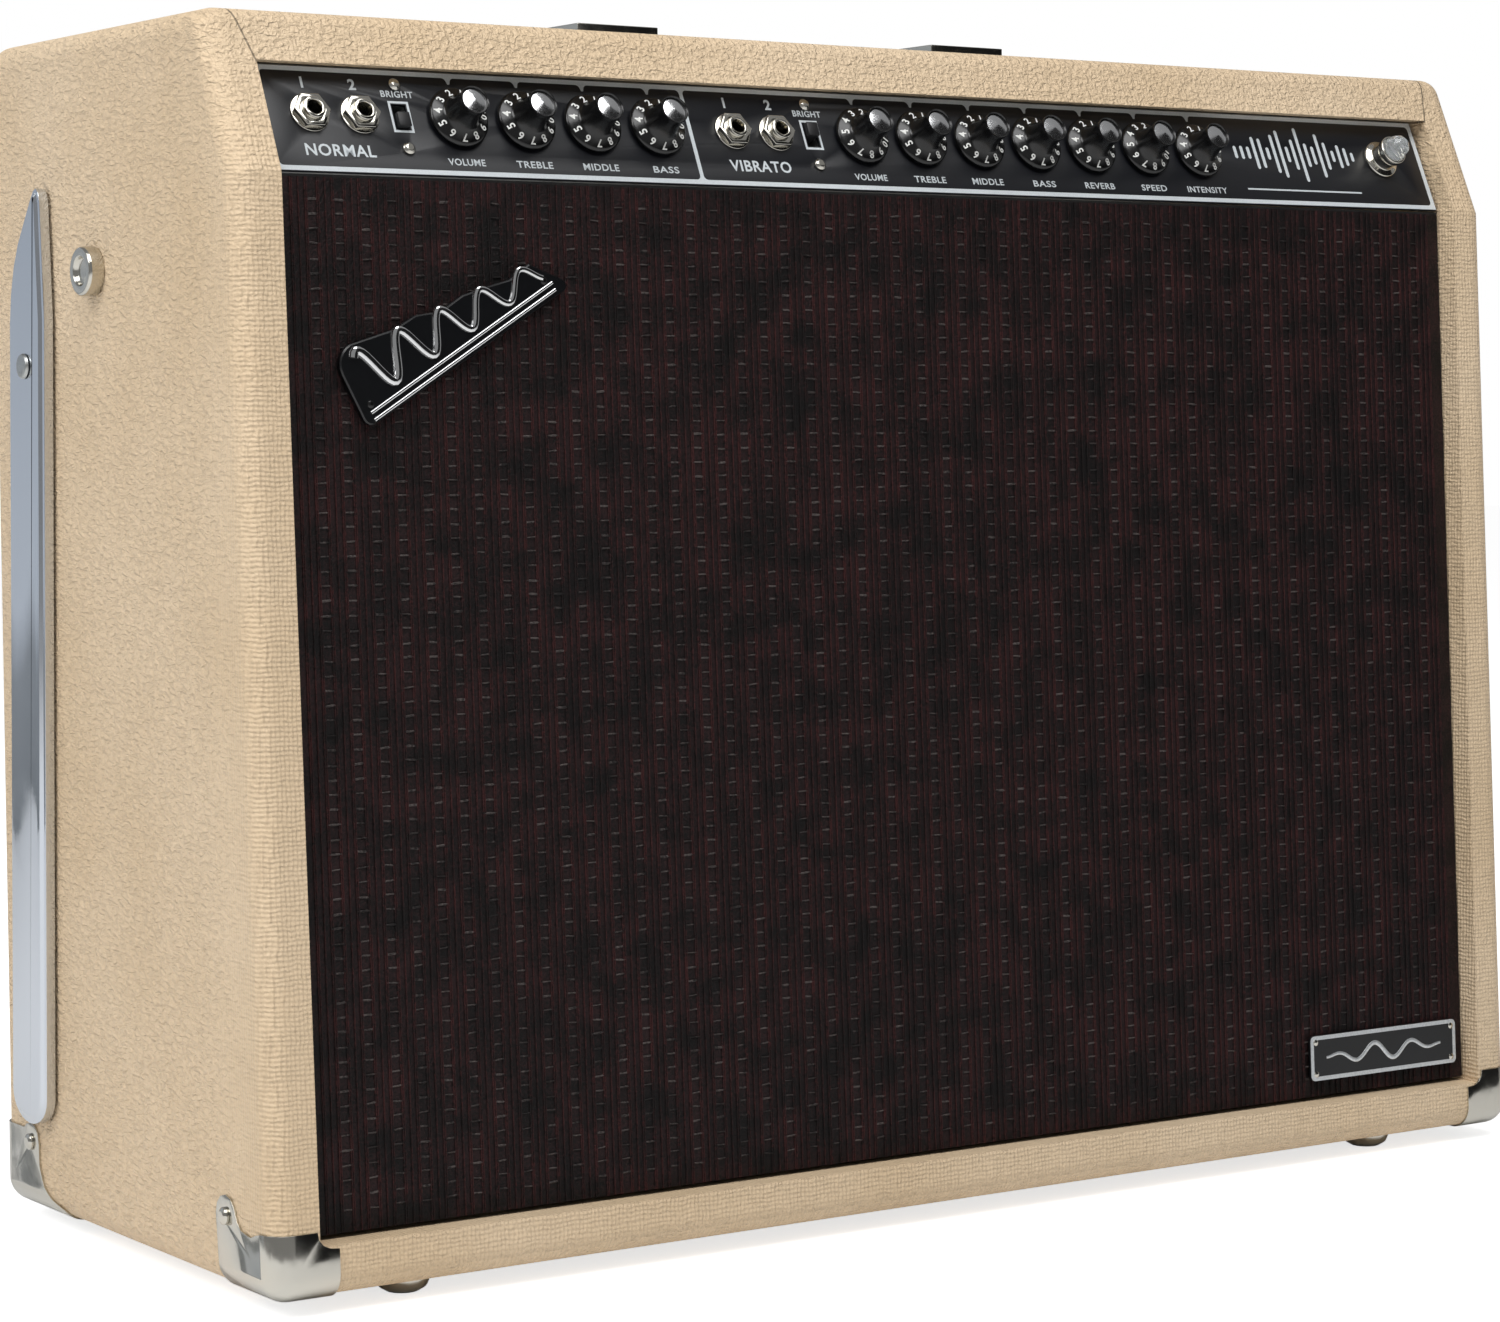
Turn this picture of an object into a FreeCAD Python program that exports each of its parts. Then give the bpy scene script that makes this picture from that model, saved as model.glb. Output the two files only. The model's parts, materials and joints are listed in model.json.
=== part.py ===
import FreeCAD, Part
import Sketcher
import math
import os
import re

# Combo guitar amplifier. Millimetres and degrees. The origin is on the floor under the
# middle of the cabinet: X to the right seen from the front, Y towards the back, Z up.

SIZES = {
    # Cabinet
    "cab_width": 673.0,
    "cab_depth": 261.6,
    "cab_height": 508.0,
    "bend_height": 442.5,
    "front_lean": 2.9,
    "panel_lean": 24.5,
    "board": 19.0,
    "skin": 1.0,
    "edge_round": 10.0,
    "front_return": 25.4,
    "rear_return": 15.0,
    "foot_height": 7.5,
    "foot_radius": 11.0,
    "foot_side": 265.0,
    "foot_front": 104.0,
    "foot_rear": 100.0,
    "batten": 18.0,
    "clearance": 0.5,
    # Baffle and grille
    "grille_recess": 9.0,
    "cloth": 1.0,
    "baffle_board": 16.0,
    "baffle_foot": 4.5,
    "baffle_rise": 0.8,
    # Back
    "back_board": 9.0,
    "lower_back_top": 170.0,
    "upper_back_low": 335.0,
    "upper_back_top": 444.0,
    # Control panel and chassis
    "panel_recess": 8.2,
    "panel_low": 4.6,
    "panel_top_gap": 0.8,
    "panel_side_gap": 2.0,
    "face_sheet": 1.5,
    "chassis_sheet": 1.5,
    "chassis_width": 620.0,
    "chassis_rear": 110.0,
    "chassis_flange": 30.0,
    "control_line": 26.0,
    # Loudspeakers
    "speaker_side": 157.5,
    "speaker_up": 232.0,
    "basket_radius": 154.0,
    "cutout_radius": 141.0,
    "basket_sheet": 2.0,
    "basket_depth": 72.0,
    "magnet_radius": 44.0,
    "magnet_depth": 34.0,
    "cone_radius": 129.0,
    "coil_radius": 25.5,
    "coil_wall": 0.8,
    "speaker_bolt_circle": 148.0,
    # Knobs and panel hardware
    "skirt_radius": 13.4,
    "knob_height": 17.2,
    "knob_lift": 1.0,
    "shaft_radius": 3.0,
    "running_fit": 0.05,
    "bush_radius": 3.5,
    "pot_radius": 8.3,
    "pot_depth": 9.0,
    "jack_bore": 3.25,
    "jack_thread": 4.75,
    "jack_washer": 8.5,
    "jack_depth": 22.0,
    "slider_width": 5.6,
    "slider_length": 6.4,
    "slider_travel": 4.0,
    "switch_screw_pitch": 29.0,
    "lamp_radius": 7.8,
    # Handle
    "handle_line": 6.5,
    "cap_outer": 118.0,
    "cap_inner": 76.0,
    "cap_width": 30.0,
    "cap_height": 10.5,
    "strap_width": 24.0,
    "strap_thick": 5.0,
    "strap_lift": 2.0,
    "grip_half": 54.0,
    # Tilt-back legs
    "pivot_depth": 79.0,
    "pivot_up": 376.0,
    "leg_lean": 1.9,
    "leg_half": 18.0,
    "leg_below": 329.0,
    "leg_above": 75.5,
    "leg_thick": 5.4,
    "leg_wall": 1.8,
    "leg_gap": 1.3,
    "stop_depth": 20.4,
    "stop_up": 414.6,
    "stop_radius": 10.3,
    "stop_high": 7.0,
    # Corner protectors
    "metal": 1.0,
    "corner_side": 48.0,
    "corner_front": 29.0,
    "corner_ear": 8.5,
    "corner_low": 27.0,
    # Toggle levers
    "toggle_tilt": 14.0,
}

NORMAL_KNOBS = ("volume", "treble", "middle", "bass")
VIBRATO_KNOBS = ("volume", "treble", "middle", "bass", "reverb", "speed", "intensity")
NORMAL_KNOB_START = -225.2
VIBRATO_KNOB_START = -22.6
KNOB_PITCH = 32.1
JACK_PLACES = (-292.5, -269.9, -90.2, -67.5)
NORMAL_SWITCH = -251.0
VIBRATO_SWITCH = -48.7
LAMP_PLACE = 286.0

doc = FreeCAD.newDocument("amplifier")
dims = doc.addObject("Spreadsheet::Sheet", "dims")
for row, (alias, size) in enumerate(SIZES.items(), start=1):
    dims.set(f"A{row}", alias)
    dims.set(f"B{row}", str(size))
    dims.setAlias(f"B{row}", alias)
doc.recompute()

pieces = []


def linked(expression):
    """Name the sheet before each of its sizes in an expression."""

    def from_sheet(word):
        return "dims." + word.group() if word.group() in SIZES else word.group()

    return re.sub(r"[a-z]\w*", from_sheet, str(expression))


def number(expression):
    """The present value of an expression of sheet sizes."""
    return float(dims.evalExpression(linked(f"({expression}) + 0")))


def bind(thing, sizes):
    """Tie properties of an object to expressions of sheet sizes."""
    for path, expression in sizes.items():
        thing.setExpression(path, linked(expression))


def piece(label, thing):
    """Name one piece of the amplifier and keep it for the hand-over."""
    thing.Label = label
    pieces.append(thing)
    return thing


# Places that several pieces share

INNER_HALF = "(cab_width / 2 - board - 2 * skin)"
WOOD_HALF = "(cab_width / 2 - board - skin)"
FLOOR = "(foot_height + board + skin)"
CEILING = "(foot_height + cab_height - board - skin)"
BACK = "(cab_depth / 2)"
PANEL_Y = (
    "(-cab_depth / 2 + bend_height * tan(front_lean)"
    " + panel_recess * cos(panel_lean) + panel_low * sin(panel_lean))"
)
PANEL_Z = (
    "(foot_height + bend_height - panel_recess * sin(panel_lean)"
    " + panel_low * cos(panel_lean))"
)
PANEL_SPAN = f"(({CEILING} - skin - panel_top_gap - {PANEL_Z}) / cos(panel_lean))"
CHASSIS_FLOOR = f"({PANEL_Z} + 1)"
CHASSIS_TOP = f"({CEILING} - 1)"
BAFFLE_LOW = "(board + baffle_foot)"
BAFFLE_FRONT = "(-grille_recess - cloth - 0.3)"
BAFFLE_REAR = "(-grille_recess - cloth - 0.3 - baffle_board)"
TOP = "(foot_height + cab_height)"


def front_line(height, inset):
    """Y of the leaning front edge at a height, moved in by an inset."""
    return (
        f"(-cab_depth / 2 + (({height}) - foot_height) * tan(front_lean)"
        f" + ({inset}) / cos(front_lean))"
    )


def slope_line(height, inset):
    """Y of the sloping panel section at a height, moved in by an inset."""
    return (
        "(-cab_depth / 2 + bend_height * tan(front_lean)"
        f" + (({height}) - foot_height - bend_height) * tan(panel_lean)"
        f" + ({inset}) / cos(panel_lean))"
    )


def side_outline(inset):
    """Corners of the cabinet seen from its side, moved in by an inset."""
    low = f"(foot_height + ({inset}))"
    high = f"(foot_height + cab_height - ({inset}))"
    bend = (
        f"(foot_height + bend_height - ({inset}) * sin((panel_lean + front_lean) / 2)"
        " / cos((panel_lean - front_lean) / 2))"
    )
    rear = f"(cab_depth / 2 - ({inset}))"
    return [
        (front_line(low, inset), low),
        (front_line(bend, inset), bend),
        (slope_line(high, inset), high),
        (rear, high),
        (rear, low),
    ]


# Ways of making a solid


def placed(thing, x="0", y="0", z="0", axis=None, angle="0"):
    """Set an object's place, and its turn about an axis, from expressions."""
    if axis is not None:
        turn = FreeCAD.Rotation(FreeCAD.Vector(*axis), number(angle))
        thing.Placement = FreeCAD.Placement(FreeCAD.Vector(), turn)
        bind(thing, {"Placement.Rotation.Angle": angle})
    bind(thing, {"Placement.Base.x": x, "Placement.Base.y": y, "Placement.Base.z": z})
    return thing


def on_panel(thing, x="0", up="0"):
    """Stand an object on the control panel, its Z axis out of the panel."""
    return placed(
        thing,
        x,
        f"{PANEL_Y} + ({up}) * sin(panel_lean)",
        f"{PANEL_Z} + ({up}) * cos(panel_lean)",
        (1, 0, 0),
        "90 - panel_lean",
    )


def on_front(thing, x="0", up="0"):
    """Stand an object on the plane of the leaning front edges, its Z axis outwards."""
    return placed(
        thing,
        x,
        f"-cab_depth / 2 + ({up}) * sin(front_lean)",
        f"foot_height + ({up}) * cos(front_lean)",
        (1, 0, 0),
        "90 - front_lean",
    )


def box(name, x, y, z):
    """A block between pairs of faces."""
    block = doc.addObject("Part::Box", name)
    bind(
        block,
        {
            "Length": f"({x[1]}) - ({x[0]})",
            "Width": f"({y[1]}) - ({y[0]})",
            "Height": f"({z[1]}) - ({z[0]})",
        },
    )
    return placed(block, x[0], y[0], z[0])


def rod(name, radius, x="0", y="0", z="0"):
    """A cylinder along the one direction that is given as a pair of ends."""
    centre = {"x": x, "y": y, "z": z}
    along = next(key for key, value in centre.items() if isinstance(value, tuple))
    low, high = centre[along]
    centre[along] = low
    turns = {"x": ((0, 1, 0), 90), "y": ((1, 0, 0), -90), "z": ((0, 0, 1), 0)}
    axis, angle = turns[along]
    cylinder = doc.addObject("Part::Cylinder", name)
    turn = FreeCAD.Rotation(FreeCAD.Vector(*axis), angle)
    cylinder.Placement = FreeCAD.Placement(FreeCAD.Vector(), turn)
    bind(cylinder, {"Radius": radius, "Height": f"({high}) - ({low})"})
    return placed(cylinder, centre["x"], centre["y"], centre["z"])


def hexagon(name, flats, low, high):
    """A six-sided nut blank about the Z axis, from its width across flats."""
    blank = doc.addObject("Part::Prism", name)
    blank.Polygon = 6
    bind(blank, {"Circumradius": f"({flats}) / 2 / cos(30)", "Height": f"({high}) - ({low})"})
    return placed(blank, z=low)


def draw_outline(sketch, corners):
    """Draw a closed outline whose corners are tied to expressions."""
    points = [FreeCAD.Vector(number(a), number(b), 0) for a, b in corners]
    count = len(points)
    for index, start in enumerate(points):
        sketch.addGeometry(Part.LineSegment(start, points[(index + 1) % count]), False)
    for index in range(count):
        sketch.addConstraint(Sketcher.Constraint("Coincident", index, 2, (index + 1) % count, 1))
    for index, corner in enumerate(corners):
        for kind, axis, expression in zip(("DistanceX", "DistanceY"), (-2, -1), corner):
            if expression == "0":
                sketch.addConstraint(Sketcher.Constraint("PointOnObject", index, 1, axis))
                continue
            limit = Sketcher.Constraint(kind, -1, 1, index, 1, number(expression))
            place = sketch.addConstraint(limit)
            sketch.setExpression(f"Constraints[{place}]", linked(expression))


def body_sketch(name, plane, corners):
    """Start a body with an outline on one of its own origin planes."""
    body = doc.addObject("PartDesign::Body", name)
    sketch = body.newObject("Sketcher::SketchObject", name + "_outline")
    planes = [item for item in body.Origin.OriginFeatures if item.Role == plane]
    sketch.AttachmentSupport = [(planes[0], "")]
    sketch.MapMode = "FlatFace"
    draw_outline(sketch, corners)
    return body, sketch


def turned(name, corners):
    """A round body about its Z axis, from (radius, height) corners."""
    body, sketch = body_sketch(name, "XZ_Plane", corners)
    turning = body.newObject("PartDesign::Revolution", name + "_turning")
    turning.Profile = sketch
    turning.ReferenceAxis = (sketch, ["V_Axis"])
    turning.Angle = 360
    return body


def prism(name, plane, corners, length):
    """A body of even section, its outline padded equally to both sides of a plane."""
    body, sketch = body_sketch(name, plane, corners)
    pad = body.newObject("PartDesign::Pad", name + "_pad")
    pad.Profile = sketch
    pad.Midplane = True
    bind(pad, {"Length": length})
    return body


def rounded(body, radius, wanted):
    """Round the edges of a body that a test picks."""
    doc.recompute()
    before = body.Tip
    edges = before.Shape.Edges
    names = [f"Edge{index}" for index, edge in enumerate(edges, start=1) if wanted(edge)]
    rounding = body.newObject("PartDesign::Fillet", body.Name + "_round")
    rounding.Base = (before, names)
    bind(rounding, {"Radius": radius})
    return body


def group(name, things):
    """Separate solids kept together."""
    compound = doc.addObject("Part::Compound", name)
    compound.Links = list(things)
    return compound


def joined(name, things):
    """Solids fused into one."""
    fusion = doc.addObject("Part::MultiFuse", name)
    fusion.Shapes = list(things)
    return fusion


def cut(name, base, tools):
    """A solid with others taken away from it."""
    remainder = doc.addObject("Part::Cut", name)
    remainder.Base = base
    remainder.Tool = tools[0] if len(tools) == 1 else group(name + "_tools", tools)
    return remainder


def shared(name, first, second):
    """What two solids have in common."""
    overlap = doc.addObject("Part::Common", name)
    overlap.Base = first
    overlap.Tool = second
    return overlap


def copy_of(name, source):
    """The same solid again, to be placed somewhere else."""
    return group(name, [source])


def mirrored(name, source):
    """The same solid on the other side of the amplifier."""
    mirror = doc.addObject("Part::Mirroring", name)
    mirror.Source = source
    mirror.Normal = FreeCAD.Vector(1, 0, 0)
    return mirror


# Fasteners, in their own frames: heads sit on Z = 0 and shanks run down


def screw(name, head_radius, head_high, radius, length):
    """A pan head screw."""
    return turned(
        name,
        [
            ("0", f"-({length})"),
            (radius, f"-({length}) + {radius}"),
            (radius, "0"),
            (head_radius, "0"),
            (head_radius, f"({head_high}) * 0.5"),
            (f"({head_radius}) * 0.6", head_high),
            ("0", head_high),
        ],
    )


wood_screw = screw("wood_screw", "3.6", "2.2", "1.7", "16")
machine_screw = screw("machine_screw", "2.7", "1.9", "1.4", "12")
chassis_bolt = screw("chassis_bolt", "5.0", "2.8", "2.5", "26")
speaker_bolt = screw("speaker_bolt", "4.2", "3.2", "2.4", "14")
handle_bolt = screw("handle_bolt", "4.0", "1.2", "2.4", "32")

wood_screws = []
machine_bolts = []


def across(name, source, x, y, z, facing):
    """A copy of a screw whose head faces along one of the row's directions."""
    turns = {
        "left": ((0, 1, 0), "-90"),
        "right": ((0, 1, 0), "90"),
        "back": ((1, 0, 0), "-90"),
        "up": ((0, 0, 1), "0"),
        "down": ((1, 0, 0), "180"),
    }
    axis, angle = turns[facing]
    return placed(copy_of(name, source), x, y, z, axis, angle)


# Cabinet form: the outside of the covering, of the boards, and of the corner metal


def cabinet_form(name, inset):
    """The whole cabinet as a rounded block, moved in by an inset."""
    form = prism(name, "YZ_Plane", side_outline(inset), f"cab_width - 2 * ({inset})")
    bend = number(side_outline(inset)[1][1])

    def outer_edge(edge):
        along_bend = all(abs(point.Point.z - bend) < 0.01 for point in edge.Vertexes)
        return not along_bend

    return rounded(form, f"edge_round - ({inset})", outer_edge)


covering_form = cabinet_form("covering_form", "0")
board_form = cabinet_form("board_form", "skin")
metal_form = cabinet_form("metal_form", "-metal")

THROUGH = (f"-{BACK} - 20", f"{BACK} + 20")

# Pine boards

side_cutters = {
    "left": box("left_zone", ("-cab_width", f"-{WOOD_HALF}"), THROUGH, ("0", f"{TOP} + 10")),
    "right": box("right_zone", (WOOD_HALF, "cab_width"), THROUGH, ("0", f"{TOP} + 10")),
}
MIDDLE = (f"-{WOOD_HALF}", WOOD_HALF)
for side, zone in side_cutters.items():
    piece(f"side_panel_{side}", shared(f"side_{side}", board_form, zone))
floor_zone = box("floor_zone", MIDDLE, THROUGH, ("0", FLOOR))
ceiling_zone = box("ceiling_zone", MIDDLE, THROUGH, (CEILING, f"{TOP} + 10"))
bottom_board = piece("bottom_panel", shared("bottom_board", board_form, floor_zone))
top_blank = shared("top_blank", board_form, ceiling_zone)

# Bolts that hold the chassis and the handle go down through the top

TOP_BOLTS = [
    (f"{side} * (chassis_width / 2 - chassis_flange / 2)", depth)
    for side in (-1, 1)
    for depth in ("-25", "70")
]
HANDLE_BOLTS = [
    (f"{side} * (cap_outer + cap_inner) / 2", "handle_line") for side in (-1, 1)
]
for index, (x, y) in enumerate(TOP_BOLTS):
    machine_bolts.append(across(f"top_bolt_{index}", chassis_bolt, x, y, TOP, "up"))
for index, (x, y) in enumerate(HANDLE_BOLTS):
    bolt = across(f"cap_bolt_{index}", handle_bolt, x, y, f"{TOP} + cap_height - 1.2", "up")
    machine_bolts.append(bolt)
top_holes = group(
    "top_holes",
    [
        rod(f"top_hole_{index}", "2.7", x, y, (f"{CEILING} - 5", f"{TOP} + 5"))
        for index, (x, y) in enumerate(TOP_BOLTS + HANDLE_BOLTS)
    ],
)
piece("top_panel", cut("top_board", top_blank, [top_holes]))

# Vinyl covering: outside, round the front and rear edges, and a little way into the opening

opening = box(
    "opening",
    (f"-{INNER_HALF}", INNER_HALF),
    THROUGH,
    (f"{FLOOR} + skin", f"{CEILING} - skin"),
)
board_opening = box("board_opening", MIDDLE, THROUGH, (FLOOR, CEILING))
lining = cut("lining", board_opening, [opening])
rear_lining = shared(
    "rear_lining",
    lining,
    box("rear_zone", MIDDLE, (f"{BACK} - rear_return", f"{BACK} - skin / 2"), (FLOOR, CEILING)),
)
front_corners = side_outline("skin / 2")[:3]
front_band = prism(
    "front_band",
    "YZ_Plane",
    front_corners + [(f"{y} + front_return", z) for y, z in reversed(front_corners)],
    "cab_width",
)
front_lining = shared("front_lining", lining, front_band)
outer_skin = cut("outer_skin", covering_form, [board_form])
open_skin = cut("open_skin", outer_skin, [board_opening])
edge_strips = shared("edge_strips", outer_skin, lining)
whole_skin = joined("whole_skin", [open_skin, edge_strips, rear_lining, front_lining])
piece("vinyl_covering", cut("covering", whole_skin, [top_holes]))

# Corner protectors: thin steel shells on the four lower corners

metal_shell = cut("metal_shell", metal_form, [covering_form])
CORNER_SCREW_UP = "(foot_height + 29.5)"
CORNER_SCREW_DEPTH = {-1: f"(-{BACK} + corner_side - corner_ear + 0.5)", 1: f"({BACK} - 31)"}


def ear(end, angles):
    """Points of the round ear about a corner protector's side screw."""
    points = []
    for angle in angles:
        depth = f"{CORNER_SCREW_DEPTH[end]} + corner_ear * cos({angle})"
        points.append((depth, f"{CORNER_SCREW_UP} + corner_ear * sin({angle})"))
    return points


FRONT = f"-{BACK}"
front_corner_side = prism(
    "front_corner_side",
    "YZ_Plane",
    [
        (f"{FRONT} - 5", "-1"),
        (f"{FRONT} + corner_side - 5", "-1"),
        (f"{FRONT} + corner_side - 2", "foot_height + 7"),
        *ear(-1, (0, 30, 60, 90, 120, 150)),
        (f"{FRONT} + 30", "foot_height + 28.5"),
        (f"{FRONT} + 26.5", "foot_height + 25.7"),
        (f"{FRONT} + 21", "foot_height + 24.7"),
        (f"{FRONT} + 17.8", "foot_height + 24.5"),
        (f"{FRONT} + 14", "foot_height + corner_low - 1"),
        (f"{FRONT} + 10", "foot_height + corner_low"),
        (f"{FRONT} - 5", "foot_height + corner_low"),
    ],
    "cab_width + 20",
)
rear_corner_side = prism(
    "rear_corner_side",
    "YZ_Plane",
    [
        (f"{BACK} + 5", "-1"),
        (f"{BACK} - 64", "-1"),
        (f"{BACK} - 62", "foot_height + 4"),
        (f"{BACK} - 52", "foot_height + 7"),
        (f"{BACK} - 44", "foot_height + 12"),
        (f"{BACK} - 40", "foot_height + 20"),
        *ear(1, (180, 150, 120, 90, 60)),
        (f"{BACK} - 24", "foot_height + 35"),
        (f"{BACK} + 5", "foot_height + 35"),
    ],
    "cab_width + 20",
)
corners = []
for side in (-1, 1):
    edge = f"{side} * cab_width / 2"
    front_reach = prism(
        f"front_corner_reach_{side + 1}",
        "XZ_Plane",
        [
            (f"{edge} + {side} * 5", "-1"),
            (f"{edge} - {side} * corner_front", "-1"),
            (f"{edge} - {side} * corner_front", "foot_height + 19.7"),
            (f"{edge} - {side} * (corner_front - 4)", "foot_height + 20.1"),
            (f"{edge} - {side} * (corner_front - 7)", "foot_height + 21.5"),
            (f"{edge} - {side} * (corner_front - 9)", "foot_height + 24"),
            (f"{edge} - {side} * (corner_front - 9.5)", "foot_height + corner_low"),
            (f"{edge} - {side} * (corner_front - 9.5)", "foot_height + 60"),
            (f"{edge} + {side} * 5", "foot_height + 60"),
        ],
        "cab_depth + 20",
    )
    inner = f"{edge} - {side} * corner_front"
    outer = f"{edge} + {side} * 5"
    rear_span = (outer, inner) if side < 0 else (inner, outer)
    rear_reach = box(
        f"rear_corner_reach_{side + 1}",
        rear_span,
        ("0", f"{BACK} + 5"),
        ("0", "foot_height + 60"),
    )
    for end in (-1, 1):
        if end < 0:
            zone = shared(f"corner_zone_{side + 1}{end + 1}", front_corner_side, front_reach)
        else:
            zone = shared(f"corner_zone_{side + 1}{end + 1}", rear_corner_side, rear_reach)
        shell = shared(f"corner_{side + 1}{end + 1}", metal_shell, zone)
        facing = "left" if side < 0 else "right"
        depth = CORNER_SCREW_DEPTH[end]
        name = f"corner_screw_{side + 1}{end + 1}"
        x = f"{side} * (cab_width / 2 + metal)"
        wood_screws.append(across(name, wood_screw, x, depth, CORNER_SCREW_UP, facing))
        ends = (f"{x} - 4", f"{x} + 4")
        holes = [rod(f"corner_hole_{side + 1}{end + 1}", "1.9", ends, depth, CORNER_SCREW_UP)]
        if end > 0:
            x = f"{side} * (cab_width / 2 - 17)"
            rear = f"{BACK} + metal"
            wood_screws.append(across(f"{name}_rear", wood_screw, x, rear, CORNER_SCREW_UP, "back"))
            ends = (f"{BACK} - 4", f"{BACK} + 4")
            holes.append(rod(f"corner_rear_hole_{side + 1}", "1.9", x, ends, CORNER_SCREW_UP))
        corners.append(cut(f"corner_shell_{side + 1}{end + 1}", shell, holes))
piece("corner_protectors", group("corners", corners))

# Glides under the base

foot = turned(
    "foot",
    [
        ("0", "0"),
        ("foot_radius * 0.6", "0"),
        ("foot_radius * 0.9", "foot_height * 0.25"),
        ("foot_radius", "foot_height * 0.6"),
        ("foot_radius", "foot_height"),
        ("0", "foot_height"),
    ],
)
feet = [
    placed(copy_of(f"foot_{index}", foot), f"{side} * foot_side", depth)
    for index, (side, depth) in enumerate(
        (side, depth) for side in (-1, 1) for depth in ("-foot_front", "foot_rear")
    )
]
piece("glide_feet", group("feet", feet))

# Battens glued inside, which the baffle and the back panels are screwed to

REAR_BATTEN = (f"{BACK} - rear_return - back_board - batten", f"{BACK} - rear_return - back_board")
BATTEN_IN = f"({WOOD_HALF} - batten)"
CLEAT_ENDS = (
    (f"{BAFFLE_LOW} + 3", "speaker_up - basket_radius * 0.45 - 3"),
    ("speaker_up + basket_radius * 0.45 + 3", "bend_height - 12"),
)
battens = []
for side in (-1, 1):
    near, far = (BATTEN_IN, WOOD_HALF) if side > 0 else (f"-{WOOD_HALF}", f"-{BATTEN_IN}")
    low, high = f"{FLOOR} + 1", "upper_back_top"
    battens.append(box(f"rear_batten_{side + 1}", (near, far), REAR_BATTEN, (low, high)))
    for row, ends in enumerate(CLEAT_ENDS):
        cleat = box(f"cleat_{side + 1}{row}", (near, far), ends, (f"{BAFFLE_REAR} - batten", BAFFLE_REAR))
        battens.append(on_front(copy_of(f"cleat_at_{side + 1}{row}", cleat)))
battens.append(
    box(
        "floor_batten",
        (f"-{BATTEN_IN} + 1", f"{BATTEN_IN} - 1"),
        REAR_BATTEN,
        (f"{FLOOR}", f"{FLOOR} + batten"),
    )
)
piece("cabinet_battens", group("battens", battens))

# Back panels, screwed on from behind, with the middle of the back left open

BACK_PLATE = (f"{BACK} - rear_return - back_board", f"{BACK} - rear_return")
BACK_SPAN = (f"-{INNER_HALF} + clearance", f"{INNER_HALF} - clearance")
SCREW_SIDE = f"({WOOD_HALF} - batten / 2)"
back_rows = {
    "lower_back_panel": (f"{FLOOR} + skin + clearance", "lower_back_top"),
    "upper_back_panel": ("upper_back_low", "upper_back_top"),
}
for label, (low, high) in back_rows.items():
    piece(label, box(label + "_board", BACK_SPAN, BACK_PLATE, (low, high)))
    for side in (-1, 1):
        for end, height in enumerate((f"{low} + 20", f"{high} - 20")):
            name = f"{label}_screw_{side + 1}{end}"
            x = f"{side} * {SCREW_SIDE}"
            height = f"({height})"
            screw_at = across(name, wood_screw, x, BACK_PLATE[1], height, "back")
            wood_screws.append(screw_at)

# Loudspeakers: baffle with two round openings, cloth, baskets, magnets and moving parts

SPEAKERS = {"left": "-speaker_side", "right": "speaker_side"}
baffle_blank = box(
    "baffle_blank",
    (f"-{INNER_HALF} + 1", f"{INNER_HALF} - 1"),
    (BAFFLE_LOW, "bend_height + baffle_rise"),
    (BAFFLE_REAR, BAFFLE_FRONT),
)
baffle_holes = [
    rod(f"cutout_{side}", "cutout_radius", x, "speaker_up", (f"{BAFFLE_REAR} - 5", "0"))
    for side, x in SPEAKERS.items()
]
BOLT_ANGLES = (45, 135, 225, 315)


def bolt_spot(x, angle):
    """Where a loudspeaker bolt stands on the baffle."""
    return (
        f"{x} + speaker_bolt_circle * cos({angle})",
        f"speaker_up + speaker_bolt_circle * sin({angle})",
    )


for side, x in SPEAKERS.items():
    for angle in BOLT_ANGLES:
        bolt_x, bolt_up = bolt_spot(x, angle)
        hole_ends = (f"{BAFFLE_REAR} - 5", f"{BAFFLE_FRONT} - 2.5")
        baffle_holes.append(rod(f"bolt_hole_{side}_{angle}", "2.5", bolt_x, bolt_up, hole_ends))
piece("baffle_board", on_front(cut("baffle", baffle_blank, baffle_holes)))

cloth_sheet = box(
    "cloth_sheet",
    (f"-{INNER_HALF} + 1", f"{INNER_HALF} - 1"),
    (BAFFLE_LOW, "bend_height + baffle_rise"),
    ("-grille_recess - cloth", "-grille_recess"),
)
piece("grille_cloth", on_front(copy_of("cloth", cloth_sheet)))

FLANGE = "-basket_sheet"
basket_wall = turned(
    "basket_wall",
    [
        ("cutout_radius", "0"),
        ("basket_radius", "0"),
        ("basket_radius", FLANGE),
        ("cutout_radius + basket_sheet", FLANGE),
        ("cutout_radius + basket_sheet - 6", "-24"),
        ("magnet_radius + 24", "-basket_depth + 12"),
        ("magnet_radius + 20", "-basket_depth"),
        ("coil_radius + 6", "-basket_depth"),
        ("coil_radius + 6", "-basket_depth + basket_sheet"),
        ("magnet_radius + 18", "-basket_depth + basket_sheet"),
        ("magnet_radius + 22", "-basket_depth + 12 + basket_sheet"),
        ("cutout_radius - 6", "-24 + basket_sheet"),
    ],
)
window_angles = range(0, 360, 60)
windows = []
for angle in window_angles:
    window = box(
        f"window_{angle}",
        ("magnet_radius + 26", "cutout_radius + 20"),
        ("-24", "24"),
        ("-basket_depth + 15", "-28"),
    )
    windows.append(placed(group(f"window_turn_{angle}", [window]), axis=(0, 0, 1), angle=angle))
basket_holes = [
    rod(
        f"basket_hole_{angle}",
        "2.6",
        f"speaker_bolt_circle * cos({angle})",
        f"speaker_bolt_circle * sin({angle})",
        ("-10", "10"),
    )
    for angle in BOLT_ANGLES
]
terminal = box(
    "terminal",
    ("-8", "8"),
    ("magnet_radius + 14", "magnet_radius + 42"),
    ("-basket_depth - 2", "-basket_depth"),
)
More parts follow.
